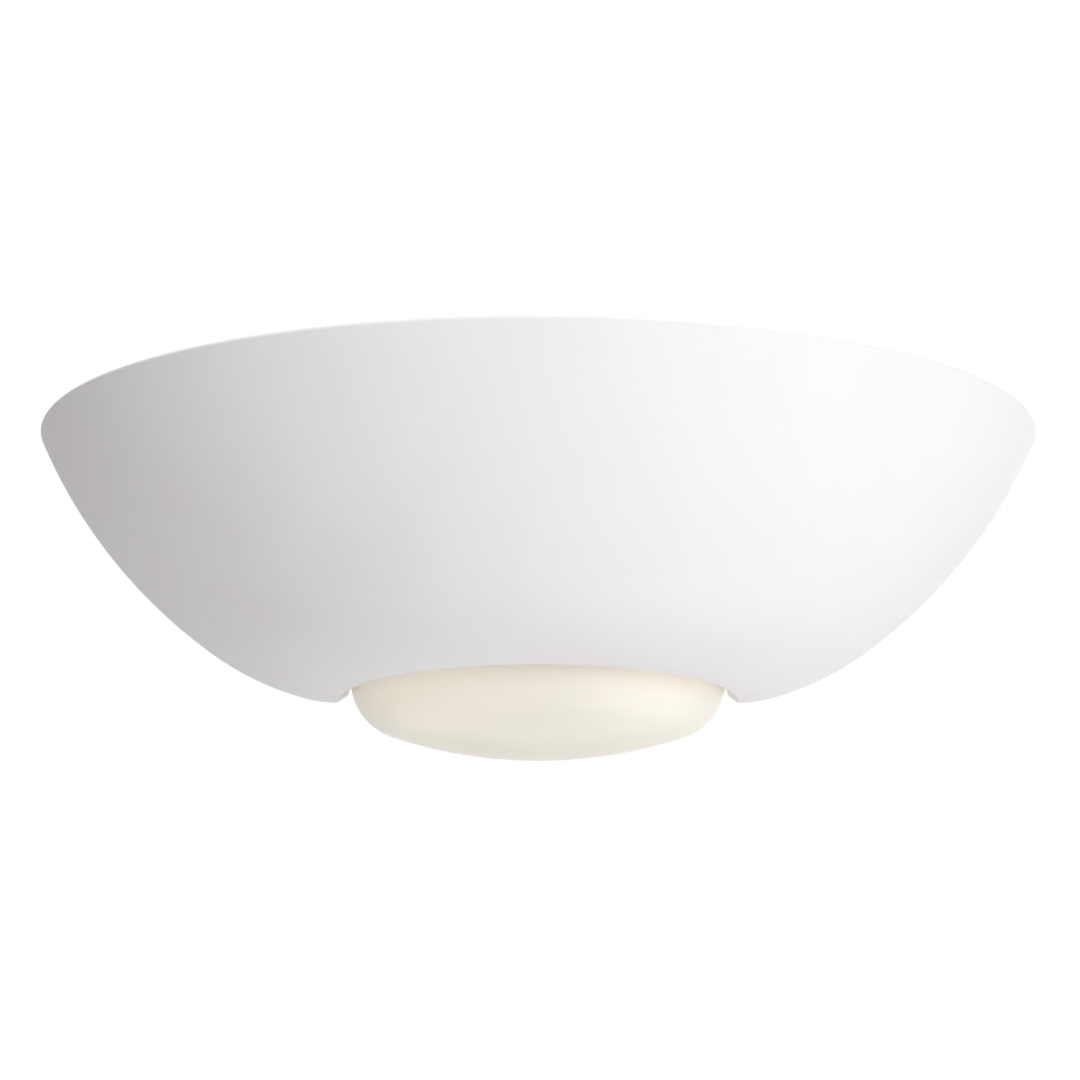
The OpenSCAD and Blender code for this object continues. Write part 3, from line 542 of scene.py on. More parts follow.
def flute(piece: Piece, count: int, radius: float, depth: float, span: Point) -> Piece:
    """Draws in the vertices at the bottom of the flutes round a turned piece.

    Args:
        piece: The piece, turned about Z.
        count: Number of flutes.
        radius: Radius of the side that is fluted.
        depth: How deep the flutes are.
        span: Heights between which they run.

    Returns:
        The piece.
    """
    turn = math.tau / count

    def fluted(vertex: bmesh.types.BMVert) -> bool:
        """Says whether a vertex of the side lies at the bottom of a flute.

        Args:
            vertex: The vertex.

        Returns:
            Whether it does.
        """
        angle = math.atan2(vertex.co.y, vertex.co.x) / turn
        outer = math.hypot(vertex.co.x, vertex.co.y) > radius - 0.02
        return outer and span[0] < vertex.co.z < span[1] and abs(angle - round(angle)) < 0.05

    with editing(piece):
        choose("VERT", fluted)
        narrow = 1 - depth / radius
        bpy.ops.transform.resize(value=(narrow, narrow, 1.0), center_override=(0, 0, 0))
    return piece


@dataclass(frozen=True)
class Thread:
    """A right-hand screw thread, drawn as rings that lie off the axis by the wave's height."""

    radius: float
    wave: float
    pitch: float
    sides: int = 40
    rings: int = 10

    def sleeve(
        self, foot: Sequence[Point], start: float, end: float, fade: float,
        top: Sequence[Point], swell: int, closed: bool = False,
    ) -> Piece:
        """Models the thread's surface, ring after ring.

        Args:
            foot: Radius and height of plain rings below the thread.
            start: Height at which the thread begins.
            end: Height at which it ends.
            fade: Length over which it fades in and out.
            top: Radius and height of plain rings above it.
            swell: Whether it fades to its crests (1) or to its roots (-1).
            closed: Whether its open ends are filled.

        Returns:
            The threaded piece.
        """
        count = round((end - start) * self.rings / self.pitch)
        stops = [(radius, 0.0, height) for radius, height in foot]
        for i in range(count + 1):
            height = start + (end - start) * i / count
            share = min(1.0, (height - start) / fade, (end - height) / fade)
            radius = self.radius + swell * self.wave * (1 - share)
            stops.append((radius, self.wave * share, height))
        stops += [(radius, 0.0, height) for radius, height in top]
        start_fresh()
        bpy.ops.mesh.primitive_circle_add(
            vertices=self.sides, radius=stops[0][0], location=self._centre(stops[0])
        )
        piece = anchored()
        with editing(piece):
            for last, stop in zip(stops, stops[1:]):
                push(*(self._centre(stop) - self._centre(last)))
                grow = stop[0] / last[0]
                if abs(grow - 1) > 1e-6:
                    bpy.ops.transform.resize(
                        value=(grow, grow, 1.0), center_override=self._centre(stop)
                    )
            close_up(holes=closed)
        return piece

    def _centre(self, stop: Corner) -> Vector:
        """Returns the middle of the ring at a stop, given as radius, wave and height."""
        turn = math.tau * stop[2] / self.pitch
        return Vector((stop[1] * math.cos(turn), stop[1] * math.sin(turn), stop[2]))


# ------------------------------------------------------------------ finishes


def linear(code: str) -> tuple[float, ...]:
    """Returns an sRGB hex colour as linear red, green, blue and alpha."""
    parts = [int(code[i:i + 2], 16) / 255 for i in (1, 3, 5)]
    return (*(p / 12.92 if p <= 0.04045 else ((p + 0.055) / 1.055) ** 2.4 for p in parts), 1.0)


def blank_tree(owner: bpy.types.Material | bpy.types.World) -> bpy.types.NodeTree:
    """Switches on the nodes of a material or world, and empties their tree.

    Args:
        owner: The material or world.

    Returns:
        The node tree.
    """
    owner.use_nodes = True
    owner.node_tree.nodes.clear()
    return owner.node_tree


def add_node(
    tree: bpy.types.NodeTree, kind: str, inputs: Mapping[object, object] | None = None,
    out: object = 0, **settings: object,
) -> Socket | None:
    """Adds a node with its settings and links.

    Args:
        tree: The node tree.
        kind: The node's type, without its prefix.
        inputs: What each input holds, by its name or number: a value, or a socket to link.
        out: The name or number of the output that is wanted.
        **settings: The node's own properties.

    Returns:
        The output, or nothing for a node that has none.
    """
    node = tree.nodes.new("ShaderNode" + kind)
    for name, value in settings.items():
        setattr(node, name, value)
    for name, value in (inputs or {}).items():
        if isinstance(value, Socket):
            tree.links.new(value, node.inputs[name])
        else:
            node.inputs[name].default_value = value
    return node.outputs[out] if node.outputs else None


def cells(size: float) -> float:
    """Returns the scale of a texture whose cells measure a size in millimetres."""
    return 1 / (size * MM)


@dataclass(frozen=True)
class Finish:
    """A surface, as the material it is made of and the way it was made."""

    name: str
    slot: str
    colour: str
    roughness: float
    shader: Mapping[str, object] = field(default_factory=dict)

    def material(self) -> bpy.types.Material:
        """Builds the finish's material the first time, and finds it after that.

        Returns:
            The material.
        """
        if self.name in bpy.data.materials:
            return bpy.data.materials[self.name]
        material = bpy.data.materials.new(self.name)
        tree = blank_tree(material)
        spot = add_node(tree, "TexCoord", out="Object")
        surface = {
            "Base Color": linear(self.colour), "Roughness": self.roughness, **self.shader,
            **self.pattern(tree, spot),
        }
        shader = add_node(tree, "BsdfPrincipled", surface)
        add_node(tree, "OutputMaterial", {"Surface": shader})
        return material

    def pattern(self, tree: bpy.types.NodeTree, spot: Socket) -> dict[str, object]:
        """Draws what varies over the surface.

        Args:
            tree: The material's node tree.
            spot: The place on the object, in metres.

        Returns:
            A socket or value for each of the shader's inputs that the pattern drives.
        """
        raise NotImplementedError


@dataclass(frozen=True)
class BisqueClay(Finish):
    """Slip-cast clay, fired once and left unglazed: dry, fine-grained and faintly clouded."""

    warm: str = "#EFEDEC"
    grain: float = 0.9
    cloud: float = 38.0
    sponge: float = 9.0

    def pattern(self, tree: bpy.types.NodeTree, spot: Socket) -> dict[str, object]:
        """Clouds the colour, and lays a bump of grain over soft marks of the sponge.

        Args:
            tree: The material's node tree.
            spot: The place on the object, in metres.

        Returns:
            The colour and the normal.
        """
        clouds = add_node(
            tree, "TexNoise", {"Vector": spot, "Scale": cells(self.cloud), "Detail": 3.0}
        )
        # Grain of 0.1 mm is drawn at 0.9 mm, the least that shows a dry surface here.
        grain = add_node(
            tree, "TexNoise",
            {"Vector": spot, "Scale": cells(self.grain), "Detail": 4.0, "Roughness": 0.65},
        )
        mixed = add_node(
            tree, "Mix", {"Factor": clouds, 6: linear(self.colour), 7: linear(self.warm)}, 2,
            data_type="RGBA",
        )
        speck = add_node(
            tree, "MapRange",
            {"Value": grain, "From Min": 0.3, "From Max": 0.7, "To Min": 0.985, "To Max": 1.0},
        )
        colour = add_node(
            tree, "Mix", {"Factor": 1.0, 6: mixed, 7: speck}, 2, data_type="RGBA",
            blend_type="MULTIPLY",
        )
        sponge = add_node(
            tree, "TexNoise", {"Vector": spot, "Scale": cells(self.sponge), "Detail": 2.0}
        )
        soft = add_node(
            tree, "Bump", {"Height": sponge, "Strength": 0.12, "Distance": 0.8 * MM}
        )
        bump = add_node(
            tree, "Bump",
            {"Height": grain, "Strength": 0.16, "Distance": 0.12 * MM, "Normal": soft},
        )
        return {"Base Color": colour, "Normal": bump}


@dataclass(frozen=True)
class SatinGlass(Finish):
    """Opal glass slumped in a mould and etched, so that it glows evenly and shines softly."""

    cloud_colour: str = "#FDEBD4"
    cloud: float = 45.0
    etch: float = 0.7

    def pattern(self, tree: bpy.types.NodeTree, spot: Socket) -> dict[str, object]:
        """Draws a faint cloud in the opal, and the etched skin's fine bump.

        Args:
            tree: The material's node tree.
            spot: The place on the object, in metres.

        Returns:
            The colour and the normal.
        """
        cloud = add_node(
            tree, "TexNoise", {"Vector": spot, "Scale": cells(self.cloud), "Detail": 2.0}
        )
        colour = add_node(
            tree, "Mix", {"Factor": cloud, 6: linear(self.colour), 7: linear(self.cloud_colour)},
            2, data_type="RGBA",
        )
        etch = add_node(
            tree, "TexNoise", {"Vector": spot, "Scale": cells(self.etch), "Detail": 3.0}
        )
        bump = add_node(
            tree, "Bump", {"Height": etch, "Strength": 0.08, "Distance": 0.06 * MM}
        )
        return {"Base Color": colour, "Normal": bump}


@dataclass(frozen=True)
class PowderCoat(Finish):
    """Polyester powder baked on steel: an even coat with the faint dimples of orange peel."""

    peel: float = 1.6

    def pattern(self, tree: bpy.types.NodeTree, spot: Socket) -> dict[str, object]:
        """Draws orange peel as bump, and a gloss that varies with it.

        Args:
            tree: The material's node tree.
            spot: The place on the object, in metres.

        Returns:
            The roughness and the normal.
        """
        peel = add_node(
            tree, "TexNoise", {"Vector": spot, "Scale": cells(self.peel), "Detail": 2.0}
        )
        low, high = self.roughness - 0.05, self.roughness + 0.06
        gloss = add_node(tree, "MapRange", {"Value": peel, "To Min": low, "To Max": high})
        bump = add_node(tree, "Bump", {"Height": peel, "Strength": 0.3, "Distance": 0.08 * MM})
        return {"Roughness": gloss, "Normal": bump}


class Working(Enum):
    """How a metal part was worked, as the stretch of its marks along X, Y and Z."""

    TURNED = (1.0, 14.0, 14.0)
    TUMBLED = (4.0, 4.0, 4.0)


@dataclass(frozen=True)
class Metal(Finish):
    """Bare or plated metal, with the marks of its working and a thin uneven tarnish."""

    tarnish: str = "#8A8C8E"
    working: Working = Working.TUMBLED
    mark: float = 0.125  # before its stretch
    blotch: float = 6.0

    def pattern(self, tree: bpy.types.NodeTree, spot: Socket) -> dict[str, object]:
        """Draws tarnish in the colour, and working marks in the gloss and bump.

        Args:
            tree: The material's node tree.
            spot: The place on the object, in metres.

        Returns:
            The metallic share, the colour, the roughness and the normal.
        """
        blotch = add_node(
            tree, "TexNoise", {"Vector": spot, "Scale": cells(self.blotch), "Detail": 4.0}
        )
        stained = add_node(
            tree, "MapRange",
            {"Value": blotch, "From Min": 0.45, "From Max": 0.75, "To Max": 0.45},
        )
        colour = add_node(
            tree, "Mix", {"Factor": stained, 6: linear(self.colour), 7: linear(self.tarnish)}, 2,
            data_type="RGBA",
        )
        scale = [1 / stretch for stretch in self.working.value]
        stretched = add_node(tree, "Mapping", {"Vector": spot, "Scale": scale})
        marks = add_node(
            tree, "TexNoise", {"Vector": stretched, "Scale": cells(self.mark), "Detail": 3.0}
        )
        low, high = self.roughness - 0.08, self.roughness + 0.12
        gloss = add_node(tree, "MapRange", {"Value": marks, "To Min": low, "To Max": high})
        bump = add_node(tree, "Bump", {"Height": marks, "Strength": 0.12, "Distance": 0.03 * MM})
        return {"Metallic": 1.0, "Base Color": colour, "Roughness": gloss, "Normal": bump}


@dataclass(frozen=True)
class Moulded(Finish):
    """An injection-moulded plastic, with its mould's spark-eroded or polished skin."""

    texture: float = 0.8
    depth: float = 0.03
    flow: float = 14.0

    def pattern(self, tree: bpy.types.NodeTree, spot: Socket) -> dict[str, object]:
        """Draws the mould's skin as bump, and slow flow marks in the gloss.

        Args:
            tree: The material's node tree.
            spot: The place on the object, in metres.

        Returns:
            The roughness and the normal.
        """
        skin = add_node(
            tree, "TexNoise",
            {"Vector": spot, "Scale": cells(self.texture), "Detail": 3.0, "Roughness": 0.6},
        )
        flow = add_node(
            tree, "TexNoise", {"Vector": spot, "Scale": cells(self.flow), "Distortion": 0.8}
        )
        low, high = self.roughness - 0.06, self.roughness + 0.06
        gloss = add_node(tree, "MapRange", {"Value": flow, "To Min": low, "To Max": high})
        bump = add_node(
            tree, "Bump", {"Height": skin, "Strength": 0.25, "Distance": self.depth * MM}
        )
        return {"Roughness": gloss, "Normal": bump}


@dataclass(frozen=True)
class PressedCeramic(Finish):
    """Dry-pressed steatite, with fine dark specks in its body."""

    speck: str = "#B9AE9A"
    speck_gap: float = 1.4
    grain: float = 0.5

    def pattern(self, tree: bpy.types.NodeTree, spot: Socket) -> dict[str, object]:
        """Draws specks in the colour and a fine grain in the bump.

        Args:
            tree: The material's node tree.
            spot: The place on the object, in metres.

        Returns:
            The colour and the normal.
        """
        gaps = add_node(tree, "TexVoronoi", {"Vector": spot, "Scale": cells(self.speck_gap)})
        dots = add_node(
            tree, "MapRange",
            {"Value": gaps, "From Min": 0.06, "From Max": 0.14, "To Min": 0.5, "To Max": 0.0},
        )
        colour = add_node(
            tree, "Mix", {"Factor": dots, 6: linear(self.colour), 7: linear(self.speck)}, 2,
            data_type="RGBA",
        )
        grain = add_node(
            tree, "TexNoise", {"Vector": spot, "Scale": cells(self.grain), "Detail": 2.0}
        )
        bump = add_node(tree, "Bump", {"Height": grain, "Strength": 0.2, "Distance": 0.04 * MM})
        return {"Base Color": colour, "Normal": bump}


@dataclass(frozen=True)
class Sheath(Finish):
    """Extruded insulation round a lead, with a second colour where it is striped."""

    stripe: str = ""
    skin: float = 1.2

    def pattern(self, tree: bpy.types.NodeTree, spot: Socket) -> dict[str, object]:
        """Draws a skin that was pulled through a die, and stripes that follow the UV map.

        Args:
            tree: The material's node tree.
            spot: The place on the object, in metres.

        Returns:
            The roughness and the normal, and the colour of a striped lead.
        """
        skin = add_node(
            tree, "TexNoise", {"Vector": spot, "Scale": cells(self.skin), "Detail": 2.0}
        )
        low, high = self.roughness - 0.08, self.roughness + 0.08
        gloss = add_node(tree, "MapRange", {"Value": skin, "To Min": low, "To Max": high})
        bump = add_node(tree, "Bump", {"Height": skin, "Strength": 0.15, "Distance": 0.03 * MM})
        varied = {"Roughness": gloss, "Normal": bump}
        if self.stripe:
            seam = add_node(tree, "UVMap", uv_map="UVMap")
            across = add_node(tree, "SeparateXYZ", {0: seam})
            half = add_node(tree, "Math", {0: across, 1: 0.5}, operation="GREATER_THAN")
            varied["Base Color"] = add_node(
                tree, "Mix", {"Factor": half, 6: linear(self.colour), 7: linear(self.stripe)}, 2,
                data_type="RGBA",
            )
        return varied


def milky(weight: float, reach: float) -> dict[str, object]:
    """Describes a body in which light of every colour spreads as far.

    Args:
        weight: Share of the light that goes in.
        reach: How far it spreads, in millimetres.

    Returns:
        The shader's inputs.
    """
    return {
        "Subsurface Weight": weight, "Subsurface Scale": reach * MM,
        "Subsurface Radius": (1.0, 1.0, 1.0),
    }


# Dry and chalky, with next to no sheen, so that only its form shades it.
BISQUE = BisqueClay("unglazed_bisque_clay", "bisque", "#F3F3F5", 0.88, {"Specular IOR Level": 0.25})
# A warm, even glow from within, under a broad and blurred highlight.
SATIN_GLASS = SatinGlass(
    "etched_opal_glass", "satin_glass", "#FFEDD8", 0.7,
    {**milky(1.0, 18), "Subsurface Radius": (1.0, 0.97, 0.93), "Subsurface Anisotropy": 0.3,
     "IOR": 1.51},
)
# Clean white with a low gloss that breaks up a little.
ENAMEL = PowderCoat("white_powder_coat", "white_enamel", "#ECEAE6", 0.36)
# Cool grey, fairly bright, and dulled in patches.
ZINC = Metal("zinc_plated_steel", "zinc_steel", "#C9CCCF", 0.3, tarnish="#A9ADB0")
# A warm silver shine that glints on the knurls.
NICKEL = Metal("nickel_plated_brass", "nickel_knob", "#CFCBC4", 0.2, tarnish="#B3AEA6")
# Yellow and bright in rings, and browner where it has tarnished.
BRASS = Metal("turned_brass", "brass", "#D9B65E", 0.26, {}, "#A8803C", Working.TURNED)
# Bright silver, with rings that run round the thread.
CAP_METAL = Metal(
    "nickel_plated_lamp_cap", "cap_metal", "#D3D5D6", 0.22, {}, "#B7B9BA", Working.TURNED
)
# Pale grey with a dull, even shine.
ALUMINIUM = Metal("drawn_aluminium", "zinc_steel", "#D9DADB", 0.34, tarnish="#B5B7B9")
# A dull silver blob.
SOLDER = Metal("tin_solder", "zinc_steel", "#C6C9CC", 0.34, tarnish="#9FA2A5")
# Green with a glint of metal, which marks the earth.
GREEN_ZINC = Metal("green_passivated_screw", "green_zinc", "#4E9A56", 0.34, tarnish="#2F6E3C")
# Dull dark grey.
RUBBER = Moulded("grey_epdm_rubber", "grey_rubber", "#4A4A48", 0.62, {}, 0.6, 0.04)
# Milky and a little waxy.
SILICONE = Moulded("translucent_silicone", "silicone", "#E4E3DE", 0.42, milky(0.3, 2), 2.0, 0.02)
# Creamy white, softer at its edges where light comes through.
NYLON = Moulded("natural_nylon", "white_nylon", "#EDECE6", 0.38, milky(0.2, 1.5), 1.1)
# Matt white, with a fine even grain.
ABS = Moulded("spark_eroded_abs", "cover_abs", "#E6E5E1", 0.45, {}, 0.7, 0.06)
# Smooth white with a clear shine.
PBT = Moulded("polished_pbt", "holder_plastic", "#E4E4E1", 0.24, {}, 2.2, 0.02)
# Satin white.
LAMP_HOUSING = Moulded("satin_polycarbonate", "lamp_housing", "#E6E6E3", 0.34, {}, 1.0)
# Soft white, lit a little from within.
LAMP_OPAL = Moulded("opal_polycarbonate", "lamp_opal", "#E9E8E4", 0.3, milky(0.3, 2), 1.6, 0.02)
# A glossy black bead.
BLACK_GLASS = Moulded("black_insulating_glass", "black_glass", "#222224", 0.08, {"IOR": 1.52}, 2.6)
# The flat, bright white of a lamp's board.
SOLDER_MASK = Moulded("white_solder_mask", "solder_mask", "#E6E9EA", 0.28, {}, 1.0, 0.02)
# Egg yellow and soft.
PHOSPHOR = Moulded("phosphor_in_silicone", "phosphor", "#F0CF45", 0.5)
# Deep green with a low gloss.
GREEN_BOARD = Moulded("green_glass_epoxy", "green_board", "#2F6E4D", 0.3, {}, 0.9)
# Creamy and matt, with tiny dark specks.
STEATITE = PressedCeramic("dry_pressed_steatite", "steatite", "#E8E1D2", 0.5)
# Plain strong colours with a slight shine, the third one with a yellow stripe.
BROWN_LEAD = Sheath("brown_insulation", "brown_lead", "#7A4A2B", 0.42)
BLUE_LEAD = Sheath("blue_insulation", "blue_lead", "#3E6FB2", 0.42)
EARTH_LEAD = Sheath("green_and_yellow_insulation", "earth_green", "#4D9A3F", 0.42, {}, "#E4CF3C")


# ------------------------------------------------------------------ settling pieces


def settle(
    piece: Piece, name: str, finish: Finish, *nodes: str, body: str = "bracket"
) -> None:
    """Brings a modelled piece to metres, dresses it and lets it ride in its nodes' place.

    Args:
        piece: The piece, in millimetres.
        name: The piece's own name.
        finish: Its finish.
        *nodes: The CAD nodes that it replaces.
        body: The body that it rides on.
    """
    place(piece, Matrix.Scale(MM, 4))
    bpy.ops.object.shade_smooth_by_angle(angle=math.radians(SMOOTH_BELOW))
    # Flat faces keep their own direction up to the rounded edges beside them.
    apply_modifier(piece, "WEIGHTED_NORMAL", mode="FACE_AREA", weight=50, keep_sharp=True)
    piece.name = piece.data.name = name
    piece.data.materials.clear()
    piece.data.materials.append(finish.material())
    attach(piece, body)
    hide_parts(*nodes)
    log.info("%s: %d faces, rides on %s", name, len(piece.data.polygons), body)


def refine(body: str, *rows: tuple[str, str, Finish, float]) -> None:
    """Copies CAD nodes, joins their triangles into faces, rounds and settles them.

    Args:
        body: The body that they ride on.
        *rows: Each node's name, its piece's name, its finish and the width of its rounding.
    """
    for node, name, finish, soft in rows:
        piece = bpy.data.objects.new("refined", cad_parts[node].data.copy())
        bpy.context.scene.collection.objects.link(piece)
        place(piece, Matrix.Scale(1 / MM, 4))
        with editing(piece):
            bpy.ops.mesh.remove_doubles(threshold=MERGE)
            bpy.ops.mesh.dissolve_limited(angle_limit=math.radians(1.0))
        settle(soften(piece, soft), name, finish, node, body=body)


# ------------------------------------------------------------------ the bowl and its glass


def out(lean: float) -> Vector:
    """Returns the outward direction of a wall that leans from upright by so many degrees."""
    return Vector((math.cos(math.radians(lean)), -math.sin(math.radians(lean))))


def down(lean: float) -> Vector:
    """Returns the downhill direction of a wall that leans from upright by so many degrees."""
    return Vector((-math.sin(math.radians(lean)), -math.cos(math.radians(lean))))


@dataclass
class Bowl:
    """The slip-cast half bowl, with two lugs inside. Its section's heights count from its rim."""

    wall: float = 6.0
    rim_lean: float = 23.0
    lip_lean: float = 75.0
    curve_share: float = 0.37
    rim_round: float = 1.5
    lip_curve_r: float = 41.0
    lip_round: float = 1.6
    lip_face_h: float = 2.8
    lip_face_a: float = 37.0
    opening_r: float = 68.2
    seat_t: float = 5.3
    rebate_r: float = 78.0
    lug_h: float = 10.0
    lug_top: float = -4.0
    lug_margin: float = 12.0
    lug_back: float = 3.0
    lug_reach: float = 40.0
    lug_round: float = 4.0
    slot_w: float = 5.5
    hollow_w: float = 55.0
    hollow_d: float = 0.35

    def __post_init__(self) -> None:
        """Works out the section's curves from the driving sizes and the frame."""
        low, high = box_of("shade")
        self.rim_z = high.z
        self.height = high.z - low.z
        self.rim_edge = Vector((high.x - self.rim_round, -self.rim_round))
        self.face_lean = 90 + self.lip_face_a
        steep = math.radians(self.face_lean)
        rounding = self.lip_round * (1 - math.sin(steep))
        face_l = (self.lip_face_h - rounding) / -math.cos(steep)
        self.lip_edge = Vector((
            self.opening_r + face_l * math.sin(steep) - self.lip_round * math.cos(steep),
            self.lip_round - self.height,
        ))
        self.lip_c = Vector((self.lip_edge.x, self.lip_curve_r - self.height))
        start = self.rim_edge + self.rim_round * out(self.rim_lean)
        end = self.lip_c + self.lip_curve_r * out(self.lip_lean)
        chord, fall, flat = end - start, down(self.rim_lean), down(self.lip_lean)
        a = 2 * self.curve_share * (fall.dot(flat) - 1)
        b = 2 * (chord.dot(fall) + self.curve_share * chord.dot(flat))
        first = (b - math.sqrt(b * b - 4 * a * chord.dot(chord))) / (2 * a)
        second = self.curve_share * first
        joint = (second * (start + first * fall) + first * (end - second * flat)) / (first + second)
        self.upper_r = self._radius(start, joint, self.rim_lean)
        self.upper_c = start - self.upper_r * out(self.rim_lean)
        self.lower_c = end - self._radius(end, joint, self.lip_lean) * out(self.lip_lean)
        spoke = joint - self.upper_c
        self.join_lean = math.degrees(math.atan2(-spoke.y, spoke.x))
        inner_r = self.upper_r - self.wall + self.rim_round
        self.inner_lean = math.degrees(math.asin((self.upper_c.y + self.rim_round) / inner_r))
        self.inner_edge = self.upper_c + inner_r * out(self.inner_lean)

    @staticmethod
    def _radius(start: Vector, end: Vector, lean: float) -> float:
        """Returns the radius of the arc between two points that leans so much at the first."""
        run = end - start
        return -run.dot(run) / (2 * out(lean).dot(run))

    def _mid_radius(self, drop: float) -> float:
        """Returns the radius of the middle of the wall at a drop from the rim."""
        inside = (self.upper_r - self.wall / 2) ** 2 - (drop + self.upper_c.y) ** 2
        return self.upper_c.x + math.sqrt(inside)

    def build(self) -> None:
        """Models the bowl: its turned wall, softened back edges, lugs and faint unevenness."""
        shell = self._turned_wall()
        with editing(shell):
            round_edges(lambda e: borders(e, self._is_back), 0.5, 2, clamp=True)
        self._make_uneven(shell)
        for side in (-1, 1):
            combine(shell, self._lug(side), "UNION")
        settle(shell, "bisque_bowl", BISQUE, "shade", body="bowl")

    @staticmethod
    def _is_back(face: bmesh.types.BMFace) -> bool:
        """Says whether a face lies against the wall."""
        return abs(face.normal.y) > 0.99 and face.calc_center_median().y > -0.1

    def _turned_wall(self) -> Piece:
        """Turns the bowl's section by half a revolution.

        Returns:
            The bowl's wall.
        """
        up = Vector((0.0, self.rim_z))
        rim_top = up + self.rim_edge + Vector((0.0, self.rim_round))
        pen = SectionPen(rim_top)
        for centre, degrees in (
            (self.rim_edge, -90 - self.rim_lean), (self.upper_c, self.rim_lean - self.join_lean),
            (self.lower_c, self.join_lean - self.lip_lean), (self.lip_c, self.lip_lean - 90),
            (self.lip_edge, 90 - self.face_lean),
        ):
            pen.arc(up + centre, degrees)
        base_z, chamfer = self.rim_z - self.height, 0.4
        seat_z = base_z + self.seat_t
        inner_r = self.lip_curve_r - self.wall
        start_lean = math.degrees(math.acos((self.rebate_r - self.lip_c.x) / inner_r))
        pen.line(
            (self.opening_r, base_z + self.lip_face_h), (self.opening_r, seat_z - chamfer),
            (self.opening_r + chamfer, seat_z), (self.rebate_r, seat_z),
            up + self.lip_c + inner_r * out(start_lean),
        )
        for centre, degrees in (
            (self.lip_c, start_lean - self.lip_lean),
            (self.lower_c, self.lip_lean - self.join_lean),
            (self.upper_c, self.join_lean - self.inner_lean),
            (self.inner_edge, self.inner_lean - 90),
        ):
            pen.arc(up + centre, degrees)
        return pen.line(rim_top).turn(180.0, steps=224)

    def _make_uneven(self, shell: Piece) -> None:
        """Gives the cast faces the slow unevenness of a wall that was sponged by hand.

        Args:
            shell: The bowl's wall, which is changed.
        """
        group = shell.vertex_groups.new(name="cast_faces")
        top, bottom = self.rim_z - 6, self.rim_z - self.height + 7
        free = [v.index for v in shell.data.vertices if v.co.y < -8 and bottom < v.co.z < top]
        group.add(free, 1.0, "REPLACE")
        hollows = bpy.data.textures.new("sponged_hollows", "CLOUDS")
        hollows.noise_scale = self.hollow_w
        hollows.noise_depth = 1
        apply_modifier(
            shell, "DISPLACE", texture=hollows, strength=self.hollow_d, mid_level=0.5,
            vertex_group=group.name, texture_coords="LOCAL",
        )
        shell.vertex_groups.clear()

    def _lug(self, side: int) -> Piece:
        """Models one slotted lug, its outer end buried in the middle of the wall.

        Args:
            side: Left (-1) or right (1).

        Returns:
            The lug.
        """
        screw, slot_r = screw_point(side), self.slot_w / 2
        low_z = self.lug_top - self.lug_h
        left, right = sorted((screw.x - side * self.lug_margin, screw.x + side * self.lug_reach))
        front, rounds = screw.y - self.lug_margin, (self.lug_round, 0.0)[::side]
        plan = [
            (left, front, rounds[0]), (right, front, rounds[1]), (right, -self.lug_back, 0.0),
            (left, -self.lug_back, 0.0),
        ]
        left, right, front = screw.x - slot_r, screw.x + slot_r, screw.y - slot_r
        channel = [
            (left, front, slot_r), (right, front, slot_r), (right, 1.0, 0.0), (left, 1.0, 0.0)
        ]
        lug = sheet(plan, self.lug_h, at(0.0, 0.0, low_z) @ LAID)
        cut(lug, sheet(channel, self.lug_h + 2, at(0.0, 0.0, low_z - 1) @ LAID))
        soften(lug, 0.9, segments=3)
        start_fresh()
        drop = self.rim_z - self.lug_top
        bpy.ops.mesh.primitive_cone_add(
            vertices=256, radius1=self._mid_radius(drop + self.lug_h + 1),
            radius2=self._mid_radius(drop - 1), depth=self.lug_h + 2,
            location=(0.0, 0.0, self.lug_top - self.lug_h / 2),
        )
        return combine(lug, anchored(), "INTERSECT")


@dataclass
class GlassDish:
    """The shallow dish of satin glass that hangs in the bowl's opening by its flange."""

    thickness: float = 3.0
    corner_r: float = 22.4
    crown_r: float = 165.0
    flange_w: float = 9.0
    polish: float = 0.7
    facet: float = 1.5

    def build(self) -> None:
        """Models the dish: half a revolution, cut straight near the wall, over its seal."""
        low, high = box_of("glass_diffuser")
        flange_r, bottom, top = high.x, low.z, high.z
        dish_r = flange_r - self.flange_w
        half = math.degrees(math.asin((dish_r - self.corner_r) / (self.crown_r - self.corner_r)))
        crown = Vector((0.0, bottom + self.crown_r))
        corner = crown + (self.crown_r - self.corner_r) * out(90 - half)
        flange_z = top - self.thickness
        meet = math.degrees(math.asin((corner.y - flange_z) / self.corner_r))
        inner, edge = dish_r - self.thickness, flange_r - self.polish
        inner_edge = inner + self.polish
        pen = SectionPen((0.0, bottom)).arc(crown, half)
        pen.arc(corner, 90 - half - meet, self.facet).line((edge, flange_z))
        pen.arc((edge, flange_z + self.polish), 90).line((flange_r, top - self.polish))
        pen.arc((edge, top - self.polish), 90).line((inner_edge, top))
        pen.arc((inner_edge, top - self.polish), 90).line((inner, corner.y))
        dish = pen.arc(corner, half - 90, self.facet).arc(crown, -half).turn(180.0, steps=160)
        with editing(dish):
            bpy.ops.mesh.bisect(
                plane_co=(0.0, high.y, 0.0), plane_no=(0.0, 1.0, 0.0), clear_outer=True,
                use_fill=True,
            )
            round_edges(lambda e: borders(
                e, lambda f: abs(f.calc_center_median().y - high.y) < 1e-3
            ), 0.5, 3, clamp=True)
        settle(dish, "satin_glass_dish", SATIN_GLASS, "glass_diffuser", body="diffuser")
        refine("bowl", ("diffuser_seal", "silicone_seal", SILICONE, 0.15))


# ------------------------------------------------------------------ bracket, arm and fixings


